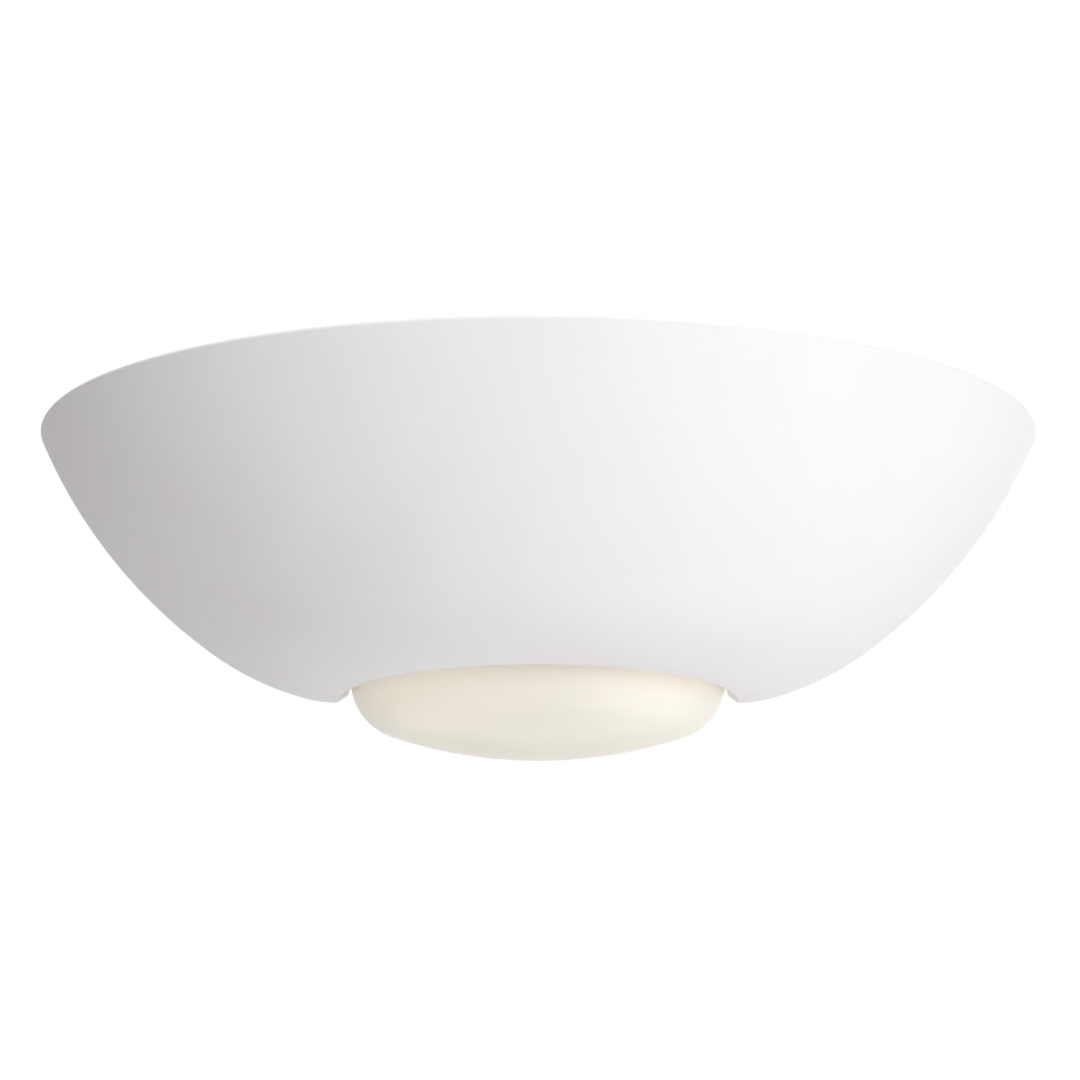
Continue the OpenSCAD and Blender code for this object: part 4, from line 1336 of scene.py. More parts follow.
@dataclass
class WallBracket:
    """The enamelled steel plate on the wall, with a folded tab under each of the bowl's lugs."""

    steel: float = 1.5
    half_w: float = 76.0
    bottom: float = -29.0
    top: float = 27.0
    band_top: float = 16.0
    corner_r: float = 5.0
    tab_w: float = 16.0
    tab_l: float = 32.0
    fold_r: float = 0.6
    nut_hole_r: float = 3.05
    slot_x: float = 60.0
    slot_l: float = 12.0
    slot_w: float = 5.2
    holes: tuple[Corner, ...] = (
        (0.0, 12.0, 9.0), (-43.5, -1.0, 1.75), (43.5, -1.0, 1.75), (-90.005, -3.0, 1.65),
        (-90.005, 9.0, 1.65), (28.0, -6.0, 2.0), (3.0, -8.5, 1.5),
    )

    def build(self) -> None:
        """Cuts the plate out, folds its tabs and punches its holes."""
        tab_top = box_of("lug_pads")[0].z
        fold_z = tab_top + self.fold_r
        plate = sheet(self._outline(tab_top - self.steel, fold_z), self.steel)
        with editing(plate):
            for side in (-1, 1):
                self._fold_tab(screw_point(side).x, fold_z)
            round_edges(
                lambda e: along(e, 2) and middle(e).y < -self.tab_l + 0.1, self.corner_r, 8
            )
        for side in (-1, 1):
            x, y, _ = screw_point(side)
            pill = rectangle((side * self.slot_x, 0.0), self.slot_l, self.slot_w, self.slot_w / 2)
            nut_hole = rod((x, y, tab_top - 4), (x, y, tab_top + 2), self.nut_hole_r)
            cut(plate, sheet(pill, 4.0, at(0.0, 1.0, 0.0)), nut_hole)
        cut(plate, *(rod((x, 1.0, z), (x, -3.0, z), radius) for x, z, radius in self.holes))
        settle(soften(plate, PRESSED_EDGE), "enamelled_bracket", ENAMEL, "wall_bracket")

    def _outline(self, tab_z: float, fold_z: float) -> list[Corner]:
        """Draws the plate's outline with the tabs as short stubs, to be folded out.

        Args:
            tab_z: Height of the tabs' underside.
            fold_z: Height at which they are folded.

        Returns:
            The outline's corners.
        """
        screw_x = screw_point(1).x
        inner, outer = screw_x - self.tab_w / 2, screw_x + self.tab_w / 2
        right = [
            (self.half_w, self.bottom, self.corner_r), (self.half_w, tab_z, 2.0),
            (inner - 1.0, tab_z, 0.5), (inner - 1.0, fold_z + 1.7, 0.4),
            (inner, fold_z + 1.7, 0.4), (inner, fold_z, 0.0), (outer, fold_z, 0.0),
            (outer, self.band_top, 1.0), (self.half_w, self.band_top, 2.0),
            (self.half_w, self.top, self.corner_r),
        ]
        return right + [(-x, z, radius) for x, z, radius in reversed(right)]

    def _fold_tab(self, x: float, fold_z: float) -> None:
        """Folds a tab out of its stub and draws it to its length.

        Args:
            x: The tab's middle.
            fold_z: Height at which it is folded.
        """
        stub = Vector((x, -self.steel / 2, fold_z))
        choose(
            "FACE",
            lambda f: f.normal.z < -0.9 and (f.calc_center_median() - stub).length < 1.0,
        )
        bend_y = -self.steel - self.fold_r
        bpy.ops.mesh.spin(
            steps=6, angle=math.radians(90), center=(0.0, bend_y, fold_z), axis=(1.0, 0.0, 0.0)
        )
        push(0.0, -self.tab_l - bend_y, 0.0)


@dataclass
class LampArm:
    """The arm of folded steel that stands out from the plate and carries the lampholder."""

    steel: float = 1.5
    width: float = 24.0
    nipple_hole: Point = (72.0, 5.05)
    lead_hole: Point = (20.0, 5.0)
    rivet_x: float = -90.005
    rivet_gap: float = 12.0

    def build(self) -> None:
        """Folds and drills the arm, and rivets it to the plate."""
        low, high = box_of("lampholder_arm")
        mid_z = (low.z + high.z) / 2
        face, foot_top = low.x + self.steel, 2 * self.steel
        plan = [
            (low.x, self.steel, 2.0), (high.x, self.steel, 0.3), (high.x, foot_top, 0.3),
            (face, foot_top, 0.5), (face, -low.y, 0.0), (low.x, -low.y, 0.0),
        ]
        arm = sheet(plan, self.width, facing(0.0, 0.0, high.z))
        with editing(arm):
            round_edges(
                lambda e: along(e, 0) and middle(e).y < low.y + 0.1, self.width / 2 - 0.02, 16
            )
        for out_by, radius in (self.nipple_hole, self.lead_hole):
            cut(arm, rod((low.x - 2, -out_by, mid_z), (face + 2, -out_by, mid_z), radius))
        spots = [mid_z + side * self.rivet_gap / 2 for side in (-1, 1)]
        cut(arm, *(rod((self.rivet_x, 0.0, z), (self.rivet_x, -6.0, z), 1.65) for z in spots))
        settle(soften(arm, PRESSED_EDGE), "lampholder_bracket_arm", ENAMEL, "lampholder_arm")
        rivet = turned([
            (0.0, -2.8, 0.0), (1.6, -2.8, 0.2), (1.6, 0.0, 0.0), (3.2, 0.0, 0.1), (3.2, 0.4, 0.2),
            (2.4, 1.2, 0.6), (1.2, 1.2, 0.1), (1.0, 0.6, 0.2), (0.0, 0.6, 0.0),
        ], 40)
        rivets = cluster(rivet, [facing(self.rivet_x, -foot_top, z) for z in spots])
        settle(rivets, "pop_rivets", ALUMINIUM, "arm_rivets")


@dataclass
class BowlFixings:
    """The knurled thumbscrews that hold the bowl, their washers, pads and pressed-in nuts."""

    shank_r: float = 1.95
    pitch: float = 0.7
    knob_r: float = 7.0
    knob_h: float = 6.0
    collar_r: float = 4.55
    collar_h: float = 3.0
    grooves: int = 20
    groove_depth: float = 0.47
    washer_r: float = 5.5
    washer_hole_r: float = 2.1
    nut_r: float = 4.0
    nut_h: float = 3.2
    nut_bore_r: float = 2.02
    tab_steel: float = 1.5
    pad_w: float = 14.0
    pad_l: float = 27.0
    pad_y: float = -17.5
    pad_hole_y: float = -20.0
    pad_hole_r: float = 3.5

    def build(self) -> None:
        """Turns one screw, washer and nut, and copies them to the other side."""
        spots = [Matrix.Translation(screw_point(side)) for side in (-1, 1)]
        low, high = box_of("thumbscrew_washer_left")
        ring_w = self.washer_r - self.washer_hole_r
        washer = turned(rectangle(
            (self.washer_hole_r + ring_w / 2, (low.z + high.z) / 2), ring_w, high.z - low.z, 0.18
        ), 72)
        screws, washers = spread(self._screw(), spots), spread(washer, spots)
        for side, screw, ring in zip(("left", "right"), screws, washers):
            for piece, name, finish, body, node in (
                (screw, "knurled_thumbscrew_", NICKEL, "screw_", "thumbscrew_"),
                (ring, "captive_washer_", ZINC, "washer_", "thumbscrew_washer_"),
            ):
                settle(piece, name + side, finish, node + side, body=body + side)
        low, high = box_of("lug_pads")
        tab_low, neck, bore = low.z - self.tab_steel, 3.0, self.nut_bore_r
        nut_low = tab_low - self.nut_h
        nut = turned([
            (bore, nut_low, 0.3), (self.nut_r, nut_low, 0.5), (self.nut_r, tab_low, 0.15),
            (neck, tab_low, 0.0), (neck, low.z, 0.2), (bore, low.z, 0.3),
        ])
        settle(cluster(nut, spots), "clinch_nuts", ZINC, "tab_nuts")
        plan = rectangle((0.0, self.pad_y), self.pad_w, self.pad_l, 2.0)
        pad = sheet(plan, high.z - low.z, at(0.0, 0.0, low.z) @ LAID)
        ends = [(0.0, self.pad_hole_y, z) for z in (low.z - 1, high.z + 1)]
        cut(pad, rod(*ends, self.pad_hole_r))
        sides = [at(screw_point(side).x, 0.0, 0.0) for side in (-1, 1)]
        settle(cluster(soften(pad, 0.15), sides), "silicone_pads", SILICONE, "lug_pads")

    def _screw(self) -> Piece:
        """Models a thumbscrew: a knurled and dished knob, a plain collar and a threaded shank.

        Returns:
            The thumbscrew.
        """
        low, high = box_of("thumbscrew_left")
        base = high.z - self.knob_h
        seat, core, dish_z = base - self.collar_h, 0.2, high.z - 0.7
        screw = turned([
            (0.0, seat, 0.0), (self.collar_r, seat, 0.3), (self.collar_r, base, 0.5),
            (self.knob_r, base, 0.5), (self.knob_r, high.z, 0.6), (5.3, high.z, 0.4),
            (4.6, dish_z, 0.5), (0.0, dish_z, 0.0),
        ], 4 * self.grooves)
        flute(screw, self.grooves, self.knob_r, self.groove_depth, (base, high.z))
        shank = Thread(self.shank_r - core, core, self.pitch, sides=24, rings=8).sleeve(
            [(1.1, low.z), (1.45, low.z + 0.3)], low.z + 0.5, seat - 2.4, 0.7,
            [(1.6, seat - 2.0), (self.shank_r, seat - 1.6), (self.shank_r, seat + 0.5)], -1,
            closed=True,
        )
        return combine(screw, shank, "UNION")


# ------------------------------------------------------------------ terminals, cover and leads


@dataclass(frozen=True)
class SlottedScrew:
    """A pan-headed screw with a slot. Its seat is at height 0 and its shank points down."""

    head_r: float
    head_h: float
    shank_r: float
    shank_l: float
    slot_w: float = 0.8

    def model(self) -> Piece:
        """Turns the screw and cuts its slot.

        Returns:
            The screw.
        """
        screw = turned([
            (0.0, -self.shank_l, 0.0), (self.shank_r, -self.shank_l, 0.2),
            (self.shank_r, 0.0, 0.0), (self.head_r, 0.0, 0.12),
            (self.head_r, self.head_h, self.head_h * 0.6), (0.0, self.head_h, 0.0),
        ], 48)
        far, half = self.head_r + 1, self.slot_w / 2
        cut(screw, block((-far, -half, self.head_h * 0.5), (far, half, far)))
        return soften(screw, 0.06, segments=1)


@dataclass
class TerminalBox:
    """The supply terminals under their moulded cover, the cable's entry and the earth point."""

    plate: float = 1.5
    width: float = 76.0
    height: float = 52.0
    depth: float = 26.0
    wall: float = 1.5
    corner_r: float = 4.0
    middle: Point = (0.0, -1.0)
    ear_x: float = 43.5
    ear_r: float = 5.0
    notch_z: Point = (-25.2, -16.8)
    entry: Point = (0.0, 12.0)
    entry_r: float = 4.5
    block_middle: Point = (-2.0, -8.5)
    block_h: float = 17.0
    block_d: float = 14.0
    way_y: float = 7.0
    way_pitch: float = 10.0
    way_screw_gap: float = 7.0
    earth: Point = (28.0, -6.0)

    def build(self) -> None:
        """Models the cover and its screws, the grommet, the block and the earth point."""
        settle(self._cover(), "moulded_cover", ABS, "terminal_cover")
        seat = -self.plate - self.wall
        ears = [facing(side * self.ear_x, seat, self.middle[1]) for side in (-1, 1)]
        screws = cluster(SlottedScrew(3.3, 2.0, 1.7, 2.7).model(), ears)
        settle(screws, "cover_screw_pair", ZINC, "cover_screws")
        grommet = turned([
            (self.entry_r, 0.0, 0.3), (8.95, 0.0, 0.2), (8.95, self.plate, 0.0),
            (11.0, self.plate, 0.2), (11.0, self.plate + 2, 1.2), (6.8, self.plate + 2, 0.5),
            (5.6, self.plate + 1.2, 0.5), (self.entry_r, self.plate + 1.2, 0.4),
        ], 72, facing(self.entry[0], 0.0, self.entry[1]))
        settle(grommet, "cable_entry_grommet", RUBBER, "cable_grommet")
        self._terminals()
        self._earth_point()

    def _panel(self, width: float, height: float, rounding: float, thick: float, y: float) -> Piece:
        """Returns a rounded panel about the cover's middle, whose back is at Y."""
        return sheet(rectangle(self.middle, width, height, rounding), thick, at(0.0, y, 0.0))

    def _cover(self) -> Piece:
        """Models the cover: a box with a panelled front, two ears and a notch for the leads.

        Returns:
            The cover.
        """
        cover = self._panel(self.width, self.height, self.corner_r, self.depth, 0.0)
        with editing(cover):
            round_edges(lambda e: all(v.co.y < 0.01 - self.depth for v in e.verts), 2.0, 4)
        place(cover, at(0.0, -self.plate, 0.0))
        front = -self.plate - self.depth
        combine(cover, self._panel(self.width - 14, self.height - 14, 3.0, 3.0, front + 0.5))
        ears_w, ears_h = 2 * (self.ear_x + self.ear_r), 2 * self.ear_r
        ears = self._panel(ears_w, ears_h, self.ear_r, self.wall, -self.plate)
        combine(cover, ears, "UNION")
        left, (_, mid_z), (low_z, high_z) = -self.width / 2, self.middle, self.notch_z
        walls = 2 * self.wall
        cut(
            cover,
            self._panel(
                self.width - walls, self.height - walls, self.corner_r - self.wall,
                self.depth - self.wall + 1, 1 - self.plate,
            ),
            block((left - 1, -10.0, low_z), (left + self.wall + 1, 0.0, high_z)),
            *(rod((x, 0.0, mid_z), (x, -5.0, mid_z), 1.85) for x in (-self.ear_x, self.ear_x)),
        )
        return soften(cover, PRESSED_EDGE)

    def _terminals(self) -> None:
        """Models the three-way block, its brass tubes and their screws."""
        x, z = self.block_middle
        ways = [x + way * self.way_pitch for way in (-1, 0, 1)]
        rows = [z + side * self.way_screw_gap / 2 for side in (-1, 1)]
        half_h = self.block_h / 2
        front, axis_y = -self.plate - self.block_d, -self.plate - self.way_y
        body = block((ways[0] - 5, front + 2.2, z - half_h), (ways[2] + 5, -self.plate, z + half_h))
        for way in ways:
            tower = block((way - 3.4, front, z - half_h + 1), (way + 3.4, -2.5, z + half_h - 1))
            combine(body, tower, "UNION")
        for way in ways:
            cut(
                body, rod((way, axis_y, z - 20), (way, axis_y, z + 20), 2.65),
                *(rod((way, axis_y, row), (way, front - 2, row), 2.1) for row in rows),
            )
        fixing, sunk = ways[1] + self.way_pitch / 2, -6.5
        for start, radius in ((0.0, 1.5), (sunk, 1.7)):
            cut(body, rod((fixing, start, z), (fixing, -30.0, z), radius))
        settle(soften(body, 0.35), "nylon_terminal_block", NYLON, "terminal_block")
        tube = turned(rectangle((2.05, z), 1.1, self.block_h - 4, 0.2), 48)
        cut(tube, *(rod((0.0, 0.0, row), (0.0, -6.0, row), 1.35, 24) for row in rows))
        tubes = cluster(tube, [at(way, axis_y, 0.0) for way in ways])
        settle(tubes, "terminal_way_tubes", BRASS, "terminal_tubes")
        screw = turned(
            [(0.0, 0.0, 0.0), (0.9, 0.0, 0.1), (1.3, 0.4, 0.1), (1.3, 5.0, 0.15), (0.0, 5.0, 0.0)],
            32,
        )
        cut(screw, block((-2.0, -0.25, 4.3), (2.0, 0.25, 6.0)))
        screws = cluster(screw, [facing(way, axis_y - 1.15, row) for way in ways for row in rows])
        settle(screws, "terminal_way_screws", ZINC, "terminal_screws")
        fixing_screw = SlottedScrew(1.6, 1.8, 1.45, 6.0, 0.5).model()
        place(fixing_screw, facing(fixing, sunk, z))
        settle(fixing_screw, "block_fixing_screw", ZINC, "block_screw")

    def _earth_point(self) -> None:
        """Models the green earth screw, its washer and the crimped ring."""
        x, z = self.earth
        screw = place(SlottedScrew(3.8, 2.4, 1.95, 2.9, 0.9).model(), facing(x, -3.1, z))
        settle(screw, "green_earth_screw", GREEN_ZINC, "earth_screw")
        washer = turned(rectangle((3.05, 0.4), 1.9, 0.8, 0.15), 48, facing(x, -2.3, z))
        settle(washer, "earth_point_washer", ZINC, "earth_washer")
        refine("bracket", ("earth_ring", "crimped_earth_ring", BRASS, 0.12))


@dataclass
class Wiring:
    """The leads between the terminals, the earth point and the lampholder, and their grommet."""

    radius: float = 1.05
    split: float = 1.4
    pair: tuple[Corner, ...] = (
        (-23.0, -8.0, -23.0), (-34.0, -7.0, -22.0), (-47.0, -6.0, -20.0), (-64.0, -6.0, -15.0),
        (-80.0, -9.0, -8.0), (-90.0, -15.0, -1.0), (-96.0, -20.0, 3.0), (-104.0, -20.5, 3.0),
        (-111.0, -26.0, 3.0), (-114.0, -36.0, 3.0), (-114.5, -50.0, 3.0), (-114.0, -62.0, 3.0),
        (-111.0, -69.0, 3.0), (-107.0, -72.0, 3.0), (-98.0, -72.0, 3.0), (-91.0, -72.0, 3.0),
    )
    pair_end: tuple[Point, ...] = ((-85.5, 4.2), (-83.0, 7.4), (-80.5, 8.0), (-76.0, 8.0))
    live_start: tuple[Corner, ...] = (
        (-12.0, -8.5, -13.0), (-12.0, -8.5, -17.0), (-13.0, -8.5, -19.5), (-17.0, -8.5, -21.5),
    )
    neutral_start: tuple[Corner, ...] = (
        (-2.0, -8.5, -13.0), (-2.0, -8.5, -17.0), (-3.5, -8.5, -21.0), (-8.0, -8.5, -23.8),
    )
    earth: tuple[Corner, ...] = (
        (8.0, -8.5, -13.0), (8.0, -8.5, -17.0), (9.5, -8.5, -20.5), (15.0, -7.0, -22.5),
        (20.0, -6.0, -23.5), (25.5, -4.6, -22.0), (28.0, -3.6, -18.5), (28.0, -3.6, -16.0),
        (28.0, -3.6, -14.5),
    )

    def build(self) -> None:
        """Draws the three leads and turns the grommet that they pass through."""
        for name, finish, node, route in (
            ("brown_live_lead", BROWN_LEAD, "live_lead", self._route(self.live_start, 1)),
            ("blue_neutral_lead", BLUE_LEAD, "neutral_lead", self._route(self.neutral_start, -1)),
            ("striped_earth_lead", EARTH_LEAD, "earth_lead", self.earth),
        ):
            settle(self._lead(route), name, finish, node)
        low, high = box_of("lead_grommet")
        bore, neck, rim, flange, length = 3.4, 4.95, 6.4, 1.2, high.x - low.x
        grommet = turned([
            (bore, 0.0, 0.5), (rim, 0.0, 0.5), (rim, flange, 0.3), (neck, flange, 0.0),
            (neck, length - flange, 0.0), (rim, length - flange, 0.3), (rim, length, 0.5),
            (bore, length, 0.5),
        ], 56, at(low.x, (low.y + high.y) / 2, (low.z + high.z) / 2) @ SIDEWAYS)
        settle(grommet, "arm_grommet", RUBBER, "lead_grommet")

    def _route(self, start: Sequence[Corner], side: int) -> list[Corner]:
        """Works out a lead's whole route: from its terminal, along the pair and to the holder.

        Args:
            start: The points by its terminal.
            side: Whether it lies above (1) or below (-1) the other lead.

        Returns:
            The route's points.
        """
        run = [(x, y, z + side * self.split) for x, y, z in self.pair]
        _, end_y, end_z = self.pair[-1]
        return [*start, *run, *((x, end_y, end_z + side * apart) for x, apart in self.pair_end)]

    def _lead(self, route: Sequence[Corner]) -> Piece:
        """Draws a round tube on a smooth curve.

        Args:
            route: The points that the curve passes.

        Returns:
            The lead.
        """
        start_fresh()
        bpy.ops.curve.primitive_bezier_curve_add()
        curve = bpy.context.active_object.data
        curve.dimensions = "3D"
        curve.resolution_u = 5
        curve.bevel_depth = self.radius
        curve.bevel_resolution = 4
        curve.use_fill_caps = True
        knots = curve.splines[0].bezier_points
        knots.add(len(route) - len(knots))
        spots = [Vector(spot) for spot in route]
        befores, afters = [spots[0], *spots], [*spots[1:], spots[-1]]
        for knot, before, spot, after in zip(knots, befores, spots, afters):
            pull = (after - before) / 6
            knot.handle_left_type = knot.handle_right_type = "FREE"
            knot.co, knot.handle_left, knot.handle_right = spot, spot - pull, spot + pull
        bpy.ops.object.convert(target="MESH")
        lead = bpy.context.active_object
        with editing(lead):
            close_up(holes=False)
        return lead


# ------------------------------------------------------------------ lampholder and lamp


@dataclass
class LampHolder:
    """The moulded lampholder on its hollow nipple. Heights run along the lamp's axis."""

    barrel_r: float = 19.8
    cap_r: float = 19.2
    hub_r: float = 8.5
    bore_r: float = 4.95
    joint: float = 24.8
    spigot: Point = (17.55, 30.8)
    mouth: Point = (14.52, 62.8)
    ribs: int = 32
    rib_span: Point = (29.0, 53.0)
    rib_depth: float = 0.45
    shell: Thread = Thread(13.38, 0.54, 3.629, sides=48, rings=12)
    nipple: Thread = Thread(4.68, 0.22, 1.0, sides=32, rings=8)

    def build(self) -> None:
        """Models the nipple and its nut, the two mouldings, the core and the contacts."""
        for piece, name, finish, node in (
            (self._nipple(), "threaded_nipple", BRASS, "nipple"),
            (self._nut(), "nipple_lock_nut", BRASS, "nipple_nut"),
            (self._cap(), "moulded_holder_cap", PBT, "holder_cap"),
            (self._barrel(), "ribbed_holder_barrel", PBT, "holder_barrel"),
            (self._screwed_shell(), "rolled_screw_shell", BRASS, "screw_shell"),
        ):
            settle(place(piece, lamp_axis()), name, finish, node)
        refine(
            "bracket", ("nipple_washer", "toothed_lock_washer", ZINC, 0.1),
            ("holder_grub_screw", "cap_grub_screw", ZINC, 0.08),
            ("holder_core", "steatite_core", STEATITE, 0.3),
            ("centre_contact", "sprung_centre_contact", BRASS, 0.08),
            ("holder_terminals", "holder_terminal_blocks", BRASS, 0.2),
            ("holder_terminal_screws", "holder_clamp_screws", ZINC, 0.08),
        )

    def _nipple(self) -> Piece:
        """Models the hollow nipple, threaded from end to end.

        Returns:
            The nipple.
        """
        bore, root, low, high, chamfer = 3.6, 4.35, -6.5, 10.5, 0.3
        return self.nipple.sleeve(
            [(bore, low), (root, low)], low + chamfer, high - chamfer, 0.8,
            [(root, high), (bore, high), (bore, low)], -1, closed=True,
        )

    def _nut(self) -> Piece:
        """Models the hexagonal nut, with its corners turned off.

        Returns:
            The nut.
        """
        nut = rod((0.0, 0.0, -4.5), (0.0, 0.0, -1.5), 7 / math.cos(math.radians(30)), 6)
        lens = turned([
            (0.0, -4.7, 0.0), (6.9, -4.7, 0.0), (8.3, -3.7, 0.0), (8.3, -2.3, 0.0),
            (6.9, -1.3, 0.0), (0.0, -1.3, 0.0),
        ], 72)
        combine(nut, lens, "INTERSECT")
        return soften(cut(nut, rod((0.0, 0.0, -6.0), (0.0, 0.0, 0.0), self.bore_r)), 0.1)

    def _cap(self) -> Piece:
        """Models the holder's cap: a hub, a sloping shoulder and the spigot for the barrel.

        Returns:
            The cap.
        """
        start, hub_top, inside = 0.8, 6.8, 15.95
        cap = turned([
            (self.bore_r, start, 0.4), (self.hub_r, start, 0.5), (self.hub_r, hub_top, 1.6),
            (self.cap_r - 3, hub_top + 5, 2.2), (self.cap_r, hub_top + 9, 2.2),
            (self.cap_r, self.joint, 0.5), (self.spigot[0], self.joint, 0.0),
            (*self.spigot, 0.5), (inside, self.spigot[1], 0.4), (inside, 16.8, 0.8),
            (14.0, 13.8, 0.8), (self.hub_r, 9.8, 0.8), (self.bore_r, 9.8, 0.3),
        ], 96)
        return cut(cap, rod((0.0, 0.0, 3.8), (2 * self.hub_r, 0.0, 3.8), 1.55, 32))

    def _barrel(self) -> Piece:
        """Models the barrel, with a band of grip ribs and a lip at its mouth.

        Returns:
            The barrel.
        """
        (low, high), (mouth_r, end), bore = self.rib_span, self.mouth, self.spigot[0] + 0.05
        side = [(self.barrel_r, z, 0.0) for z in (low - 0.8, low, high, high + 0.8)]
        barrel = turned([
            (bore, self.joint, 0.2), (self.barrel_r, self.joint, 0.5), *side,
            (self.barrel_r, end - 6, 1.5), (self.barrel_r - 1, end, 0.6), (mouth_r, end, 0.4),
            (mouth_r, end - 2, 0.2), (16.95, end - 3.5, 0.8), (16.95, self.spigot[1], 0.3),
            (bore, self.spigot[1], 0.0),
        ], 4 * self.ribs)
        return flute(barrel, self.ribs, self.barrel_r, self.rib_depth, (low - 0.1, high + 0.1))

    def _screwed_shell(self) -> Piece:
        """Models the rolled brass shell that the lamp screws into.

        Returns:
            The shell.
        """
        foot, lip = (self.shell.radius, 33.0), (14.12, 61.0)
        shell = self.shell.sleeve([foot], 34.5, 60.0, 2.0, [lip], 1)
        return apply_modifier(shell, "SOLIDIFY", thickness=0.5, offset=-1.0)


@dataclass
class Lamp:
    """The screw-in lamp: its cap, widening collar and opal globe, and what is sealed inside."""

    cap: Thread = Thread(12.66, 0.54, 3.629, sides=48, rings=12)
    collar_z: Point = (64.0, 102.13)
    neck_r: float = 14.76
    shoulder_r: float = 28.5
    collar_wall: float = 1.9
    globe_r: float = 30.0
    globe_z: float = 111.5
    globe_wall: float = 1.4
    board_z: float = 98.73

    def build(self) -> None:
        """Models the lamp from its contact to its globe."""
        tip, seat, top = 36.5, 37.6, 43.0
        contact = turned([
            (0.0, tip, 0.0), (3.0, tip, 0.8), (4.8, 37.1, 0.2), (4.8, seat, 0.0), (0.0, seat, 0.0)
        ], 48)
        insulator = turned([
            (0.0, seat, 0.0), (4.9, seat, 0.2), (9.66, 40.4, 0.4), (9.66, top, 0.3),
            (0.0, top, 0.0),
        ])
        cap = self.cap.sleeve(
            [(10.46, 40.0), (11.76, 40.8)], 41.6, 60.0, 2.0, [(13.2, 60.6), (13.2, 66.0)], -1
        )
        apply_modifier(cap, "SOLIDIFY", thickness=0.6, offset=-1.0)
        for piece, name, finish, body, node in (
            (contact, "soldered_lamp_contact", SOLDER, "lamp_base", "lamp_contact"),
            (insulator, "black_lamp_insulator", BLACK_GLASS, "lamp_base", "lamp_insulator"),
            (cap, "rolled_lamp_cap", CAP_METAL, "lamp", "lamp_cap"),
            (self._collar(), "moulded_lamp_collar", LAMP_HOUSING, "lamp", "lamp_collar"),
            (self._globe(), "opal_lamp_globe", LAMP_OPAL, "lamp", "lamp_globe"),
        ):
            settle(place(piece, lamp_axis()), name, finish, node, body=body)
        refine(
            "lamp", ("led_board", "chip_board", SOLDER_MASK, 0.15),
            ("led_chips", "phosphor_chips", PHOSPHOR, 0.12),
            ("driver_board", "driver_circuit_board", GREEN_BOARD, 0.15),
        )

    def _collar(self) -> Piece:
        """Models the collar, which widens smoothly from its neck to the globe.

        Returns:
            The collar.
        """
        (start, end), steps = self.collar_z, 32
        outer = [
            (self._collar_r(i / steps), start + (end - start) * i / steps)
            for i in range(steps + 1)
        ]
        inside_r = self.shoulder_r - self.collar_wall
        ledge_r, ledge_z = inside_r - 2.4, self.board_z - 2
        pen = SectionPen(outer[0]).line(
            *outer[1:], (inside_r, end), (inside_r, self.board_z), (ledge_r, self.board_z),
            (ledge_r, ledge_z), *((r - self.collar_wall, z) for r, z in outer[24:3:-2]),
            (13.3, 66.5), (13.3, start), outer[0],
        )
        return soften(pen.turn(), 0.2)

    def _collar_r(self, share: float) -> float:
        """Returns the collar's outer radius at a share of its length."""
        swing = (1 - math.cos(math.pi * min(1.0, share * 1.12))) / 2
        return self.neck_r + (self.shoulder_r - self.neck_r) * swing

    def _globe(self) -> Piece:
        """Models the globe, a thin ball that is open where the collar holds it.

        Returns:
            The globe.
        """
        centre, inner = (0.0, self.globe_z), self.globe_r - self.globe_wall
        fall = self.globe_z - self.collar_z[1]
        turns = [90 + math.degrees(math.asin(fall / radius)) for radius in (self.globe_r, inner)]
        start = (math.sqrt(self.globe_r ** 2 - fall ** 2), self.collar_z[1])
        pen = SectionPen(start).arc(centre, turns[0]).line((0.0, self.globe_z + inner))
        return pen.arc(centre, -turns[1]).line(start).turn()


# ------------------------------------------------------------------ scene and studio


@dataclass(frozen=True)
class Softbox:
    """A square softbox that faces the object, from a bearing right of the front and a height."""

    name: str
    bearing: float
    height: float
    distance: float
    size: float
    power: float
    colour: str = "#FFFFFF"

    def hang(self) -> None:
        """Adds the lamp, unseen by the camera."""
        bearing, height = math.radians(self.bearing), math.radians(self.height)
        spot = self.distance * Vector((
            math.cos(height) * math.sin(bearing), -math.cos(height) * math.cos(bearing),
            math.sin(height),
        ))
        data = bpy.data.lights.new(self.name, "AREA")
        data.shape = "SQUARE"
        data.size = self.size
        data.energy = self.power
        data.color = linear(self.colour)[:3]
        lamp = bpy.data.objects.new(self.name, data)
        lamp.location = spot
        lamp.rotation_euler = (-spot).to_track_quat("-Z", "Y").to_euler()
        lamp.visible_camera = False
        bpy.context.scene.collection.objects.link(lamp)


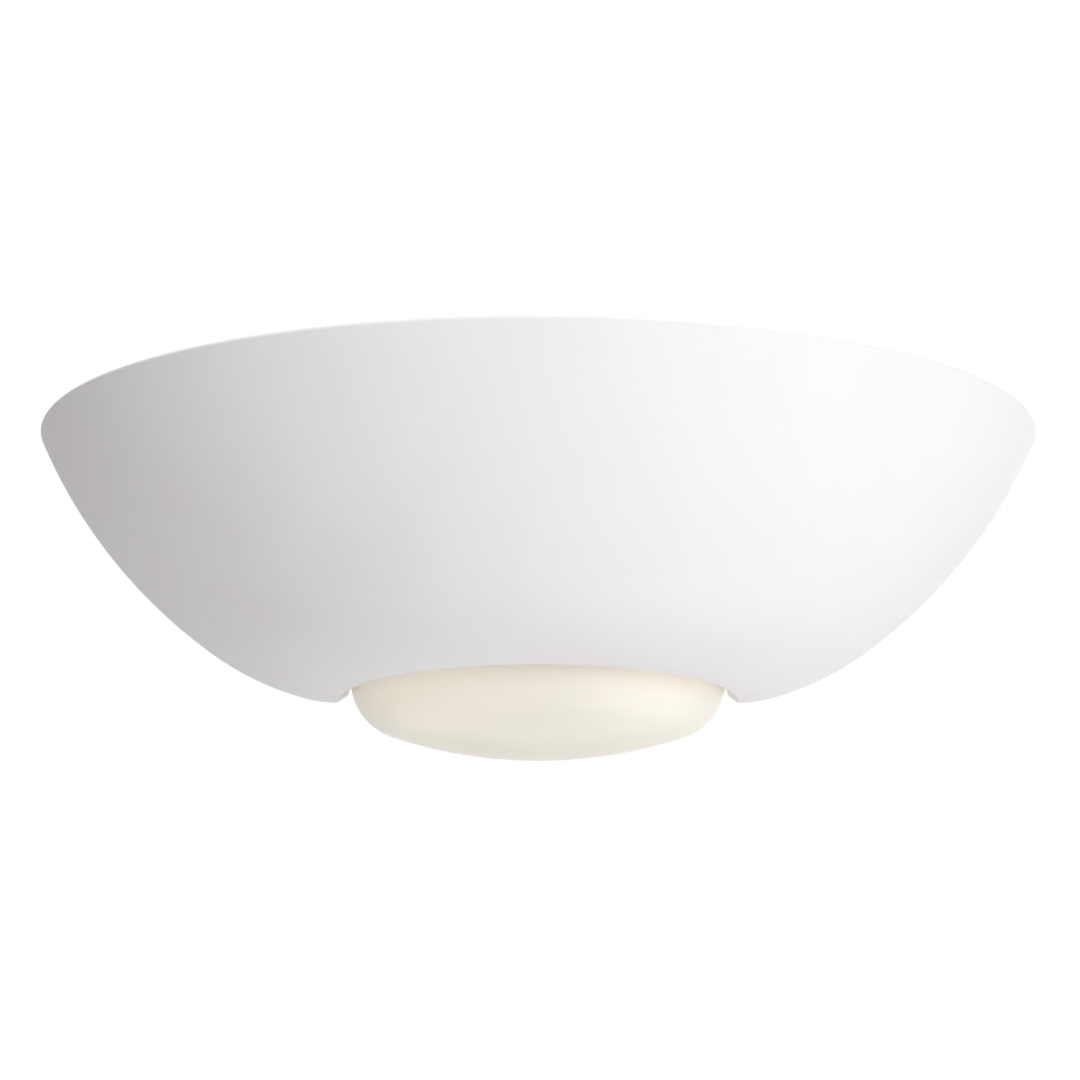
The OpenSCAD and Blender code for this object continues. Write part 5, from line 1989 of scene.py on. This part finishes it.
@dataclass
class Studio:
    """A white studio: a pale floor that fades into white, an even fill and four softboxes."""

    eye: Corner = (0.0, -2.317, -0.503)
    pitch: float = 12.23
    lens: float = 218.4
    shift: float = 0.00185
    fill: float = 0.384
    fill_colour: str = "#FFFAF9"
    floor_colour: str = "#F6F6F5"
    floor_z: float = -1.25
    floor_r: float = 8.0
    softboxes: tuple[Softbox, ...] = (
        Softbox("key_softbox", 20.0, 12.0, 2.6, 1.4, 36.5, "#F9FBFF"),
        Softbox("low_softbox", 98.0, -40.0, 1.8, 1.6, 17.4),
        Softbox("top_softbox", 0.0, 90.0, 1.6, 1.0, 14.5),
        Softbox("back_softbox", 155.0, 20.0, 2.6, 1.4, 20.0),
    )

    def build(self) -> None:
        """Sets the world, the floor, the lamps and the camera."""
        scene = bpy.context.scene
        scene.view_settings.view_transform = "Standard"
        scene.world = self._world()
        self._floor()
        for softbox in self.softboxes:
            softbox.hang()
        data = bpy.data.cameras.new("camera")
        data.lens = self.lens
        data.sensor_width = 36.0
        data.shift_x = self.shift
        data.clip_end = 50.0
        camera = bpy.data.objects.new("camera", data)
        camera.location = self.eye
        camera.rotation_euler = (math.radians(90 + self.pitch), 0.0, 0.0)
        scene.collection.objects.link(camera)
        scene.camera = camera

    def _world(self) -> bpy.types.World:
        """Makes a world that looks white and fills the shadows with an even level.

        Returns:
            The world.
        """
        world = bpy.data.worlds.new("studio_world")
        tree = blank_tree(world)
        white_to = add_node(tree, "LightPath", out="Is Camera Ray")
        for ray in ("Is Glossy Ray", "Is Transmission Ray"):
            inputs = {0: white_to, 1: add_node(tree, "LightPath", out=ray)}
            white_to = add_node(tree, "Math", inputs, operation="MAXIMUM")
        fill = add_node(tree, "Background", {0: linear(self.fill_colour), 1: self.fill})
        white = add_node(tree, "Background", {0: linear("#FFFFFF"), 1: 1.0})
        mixed = add_node(tree, "MixShader", {0: white_to, 1: fill, 2: white})
        add_node(tree, "OutputWorld", {0: mixed})
        return world

    def _floor(self) -> None:
        """Lays a plain pale floor, which the camera sees fade into the white round it."""
        start_fresh()
        bpy.ops.mesh.primitive_circle_add(
            vertices=128, radius=self.floor_r, fill_type="NGON", location=(0, 0, self.floor_z)
        )
        floor = bpy.context.active_object
        floor.name = "floor"
        material = bpy.data.materials.new("pale_floor")
        tree = blank_tree(material)
        spot = add_node(tree, "TexCoord", out="Object")
        away = add_node(tree, "VectorMath", {0: spot}, "Value", operation="LENGTH")
        fade = add_node(
            tree, "MapRange", {"Value": away, "From Min": 0.8, "From Max": 3.2, "To Min": 0.5},
            interpolation_type="SMOOTHERSTEP",
        )
        seen = add_node(tree, "LightPath", out="Is Camera Ray")
        shown = add_node(tree, "Math", {0: fade, 1: seen}, operation="MULTIPLY")
        surface = {"Base Color": linear(self.floor_colour), "Roughness": 0.95}
        paper = add_node(tree, "BsdfPrincipled", surface)
        white = add_node(tree, "Emission", {"Color": linear("#FFFFFF"), "Strength": 1.0})
        mixed = add_node(tree, "MixShader", {0: shown, 1: paper, 2: white})
        # From below the floor isn't there, so that the base can be looked at.
        under = add_node(tree, "NewGeometry", out="Backfacing")
        clear = add_node(tree, "BsdfTransparent")
        one_sided = add_node(tree, "MixShader", {0: under, 1: mixed, 2: clear})
        add_node(tree, "OutputMaterial", {"Surface": one_sided})
        floor.data.materials.append(material)


def main() -> None:
    """Builds and dresses the object, piece by piece, and sets the studio round it."""
    logging.basicConfig(level=logging.INFO, format="%(name)s: %(message)s", force=True)
    for part in (
        Bowl(), GlassDish(), WallBracket(), LampArm(), BowlFixings(), TerminalBox(), Wiring(),
        LampHolder(), Lamp(), Studio(),
    ):
        part.build()
    start_fresh()


if __name__ == "__main__":
    main()
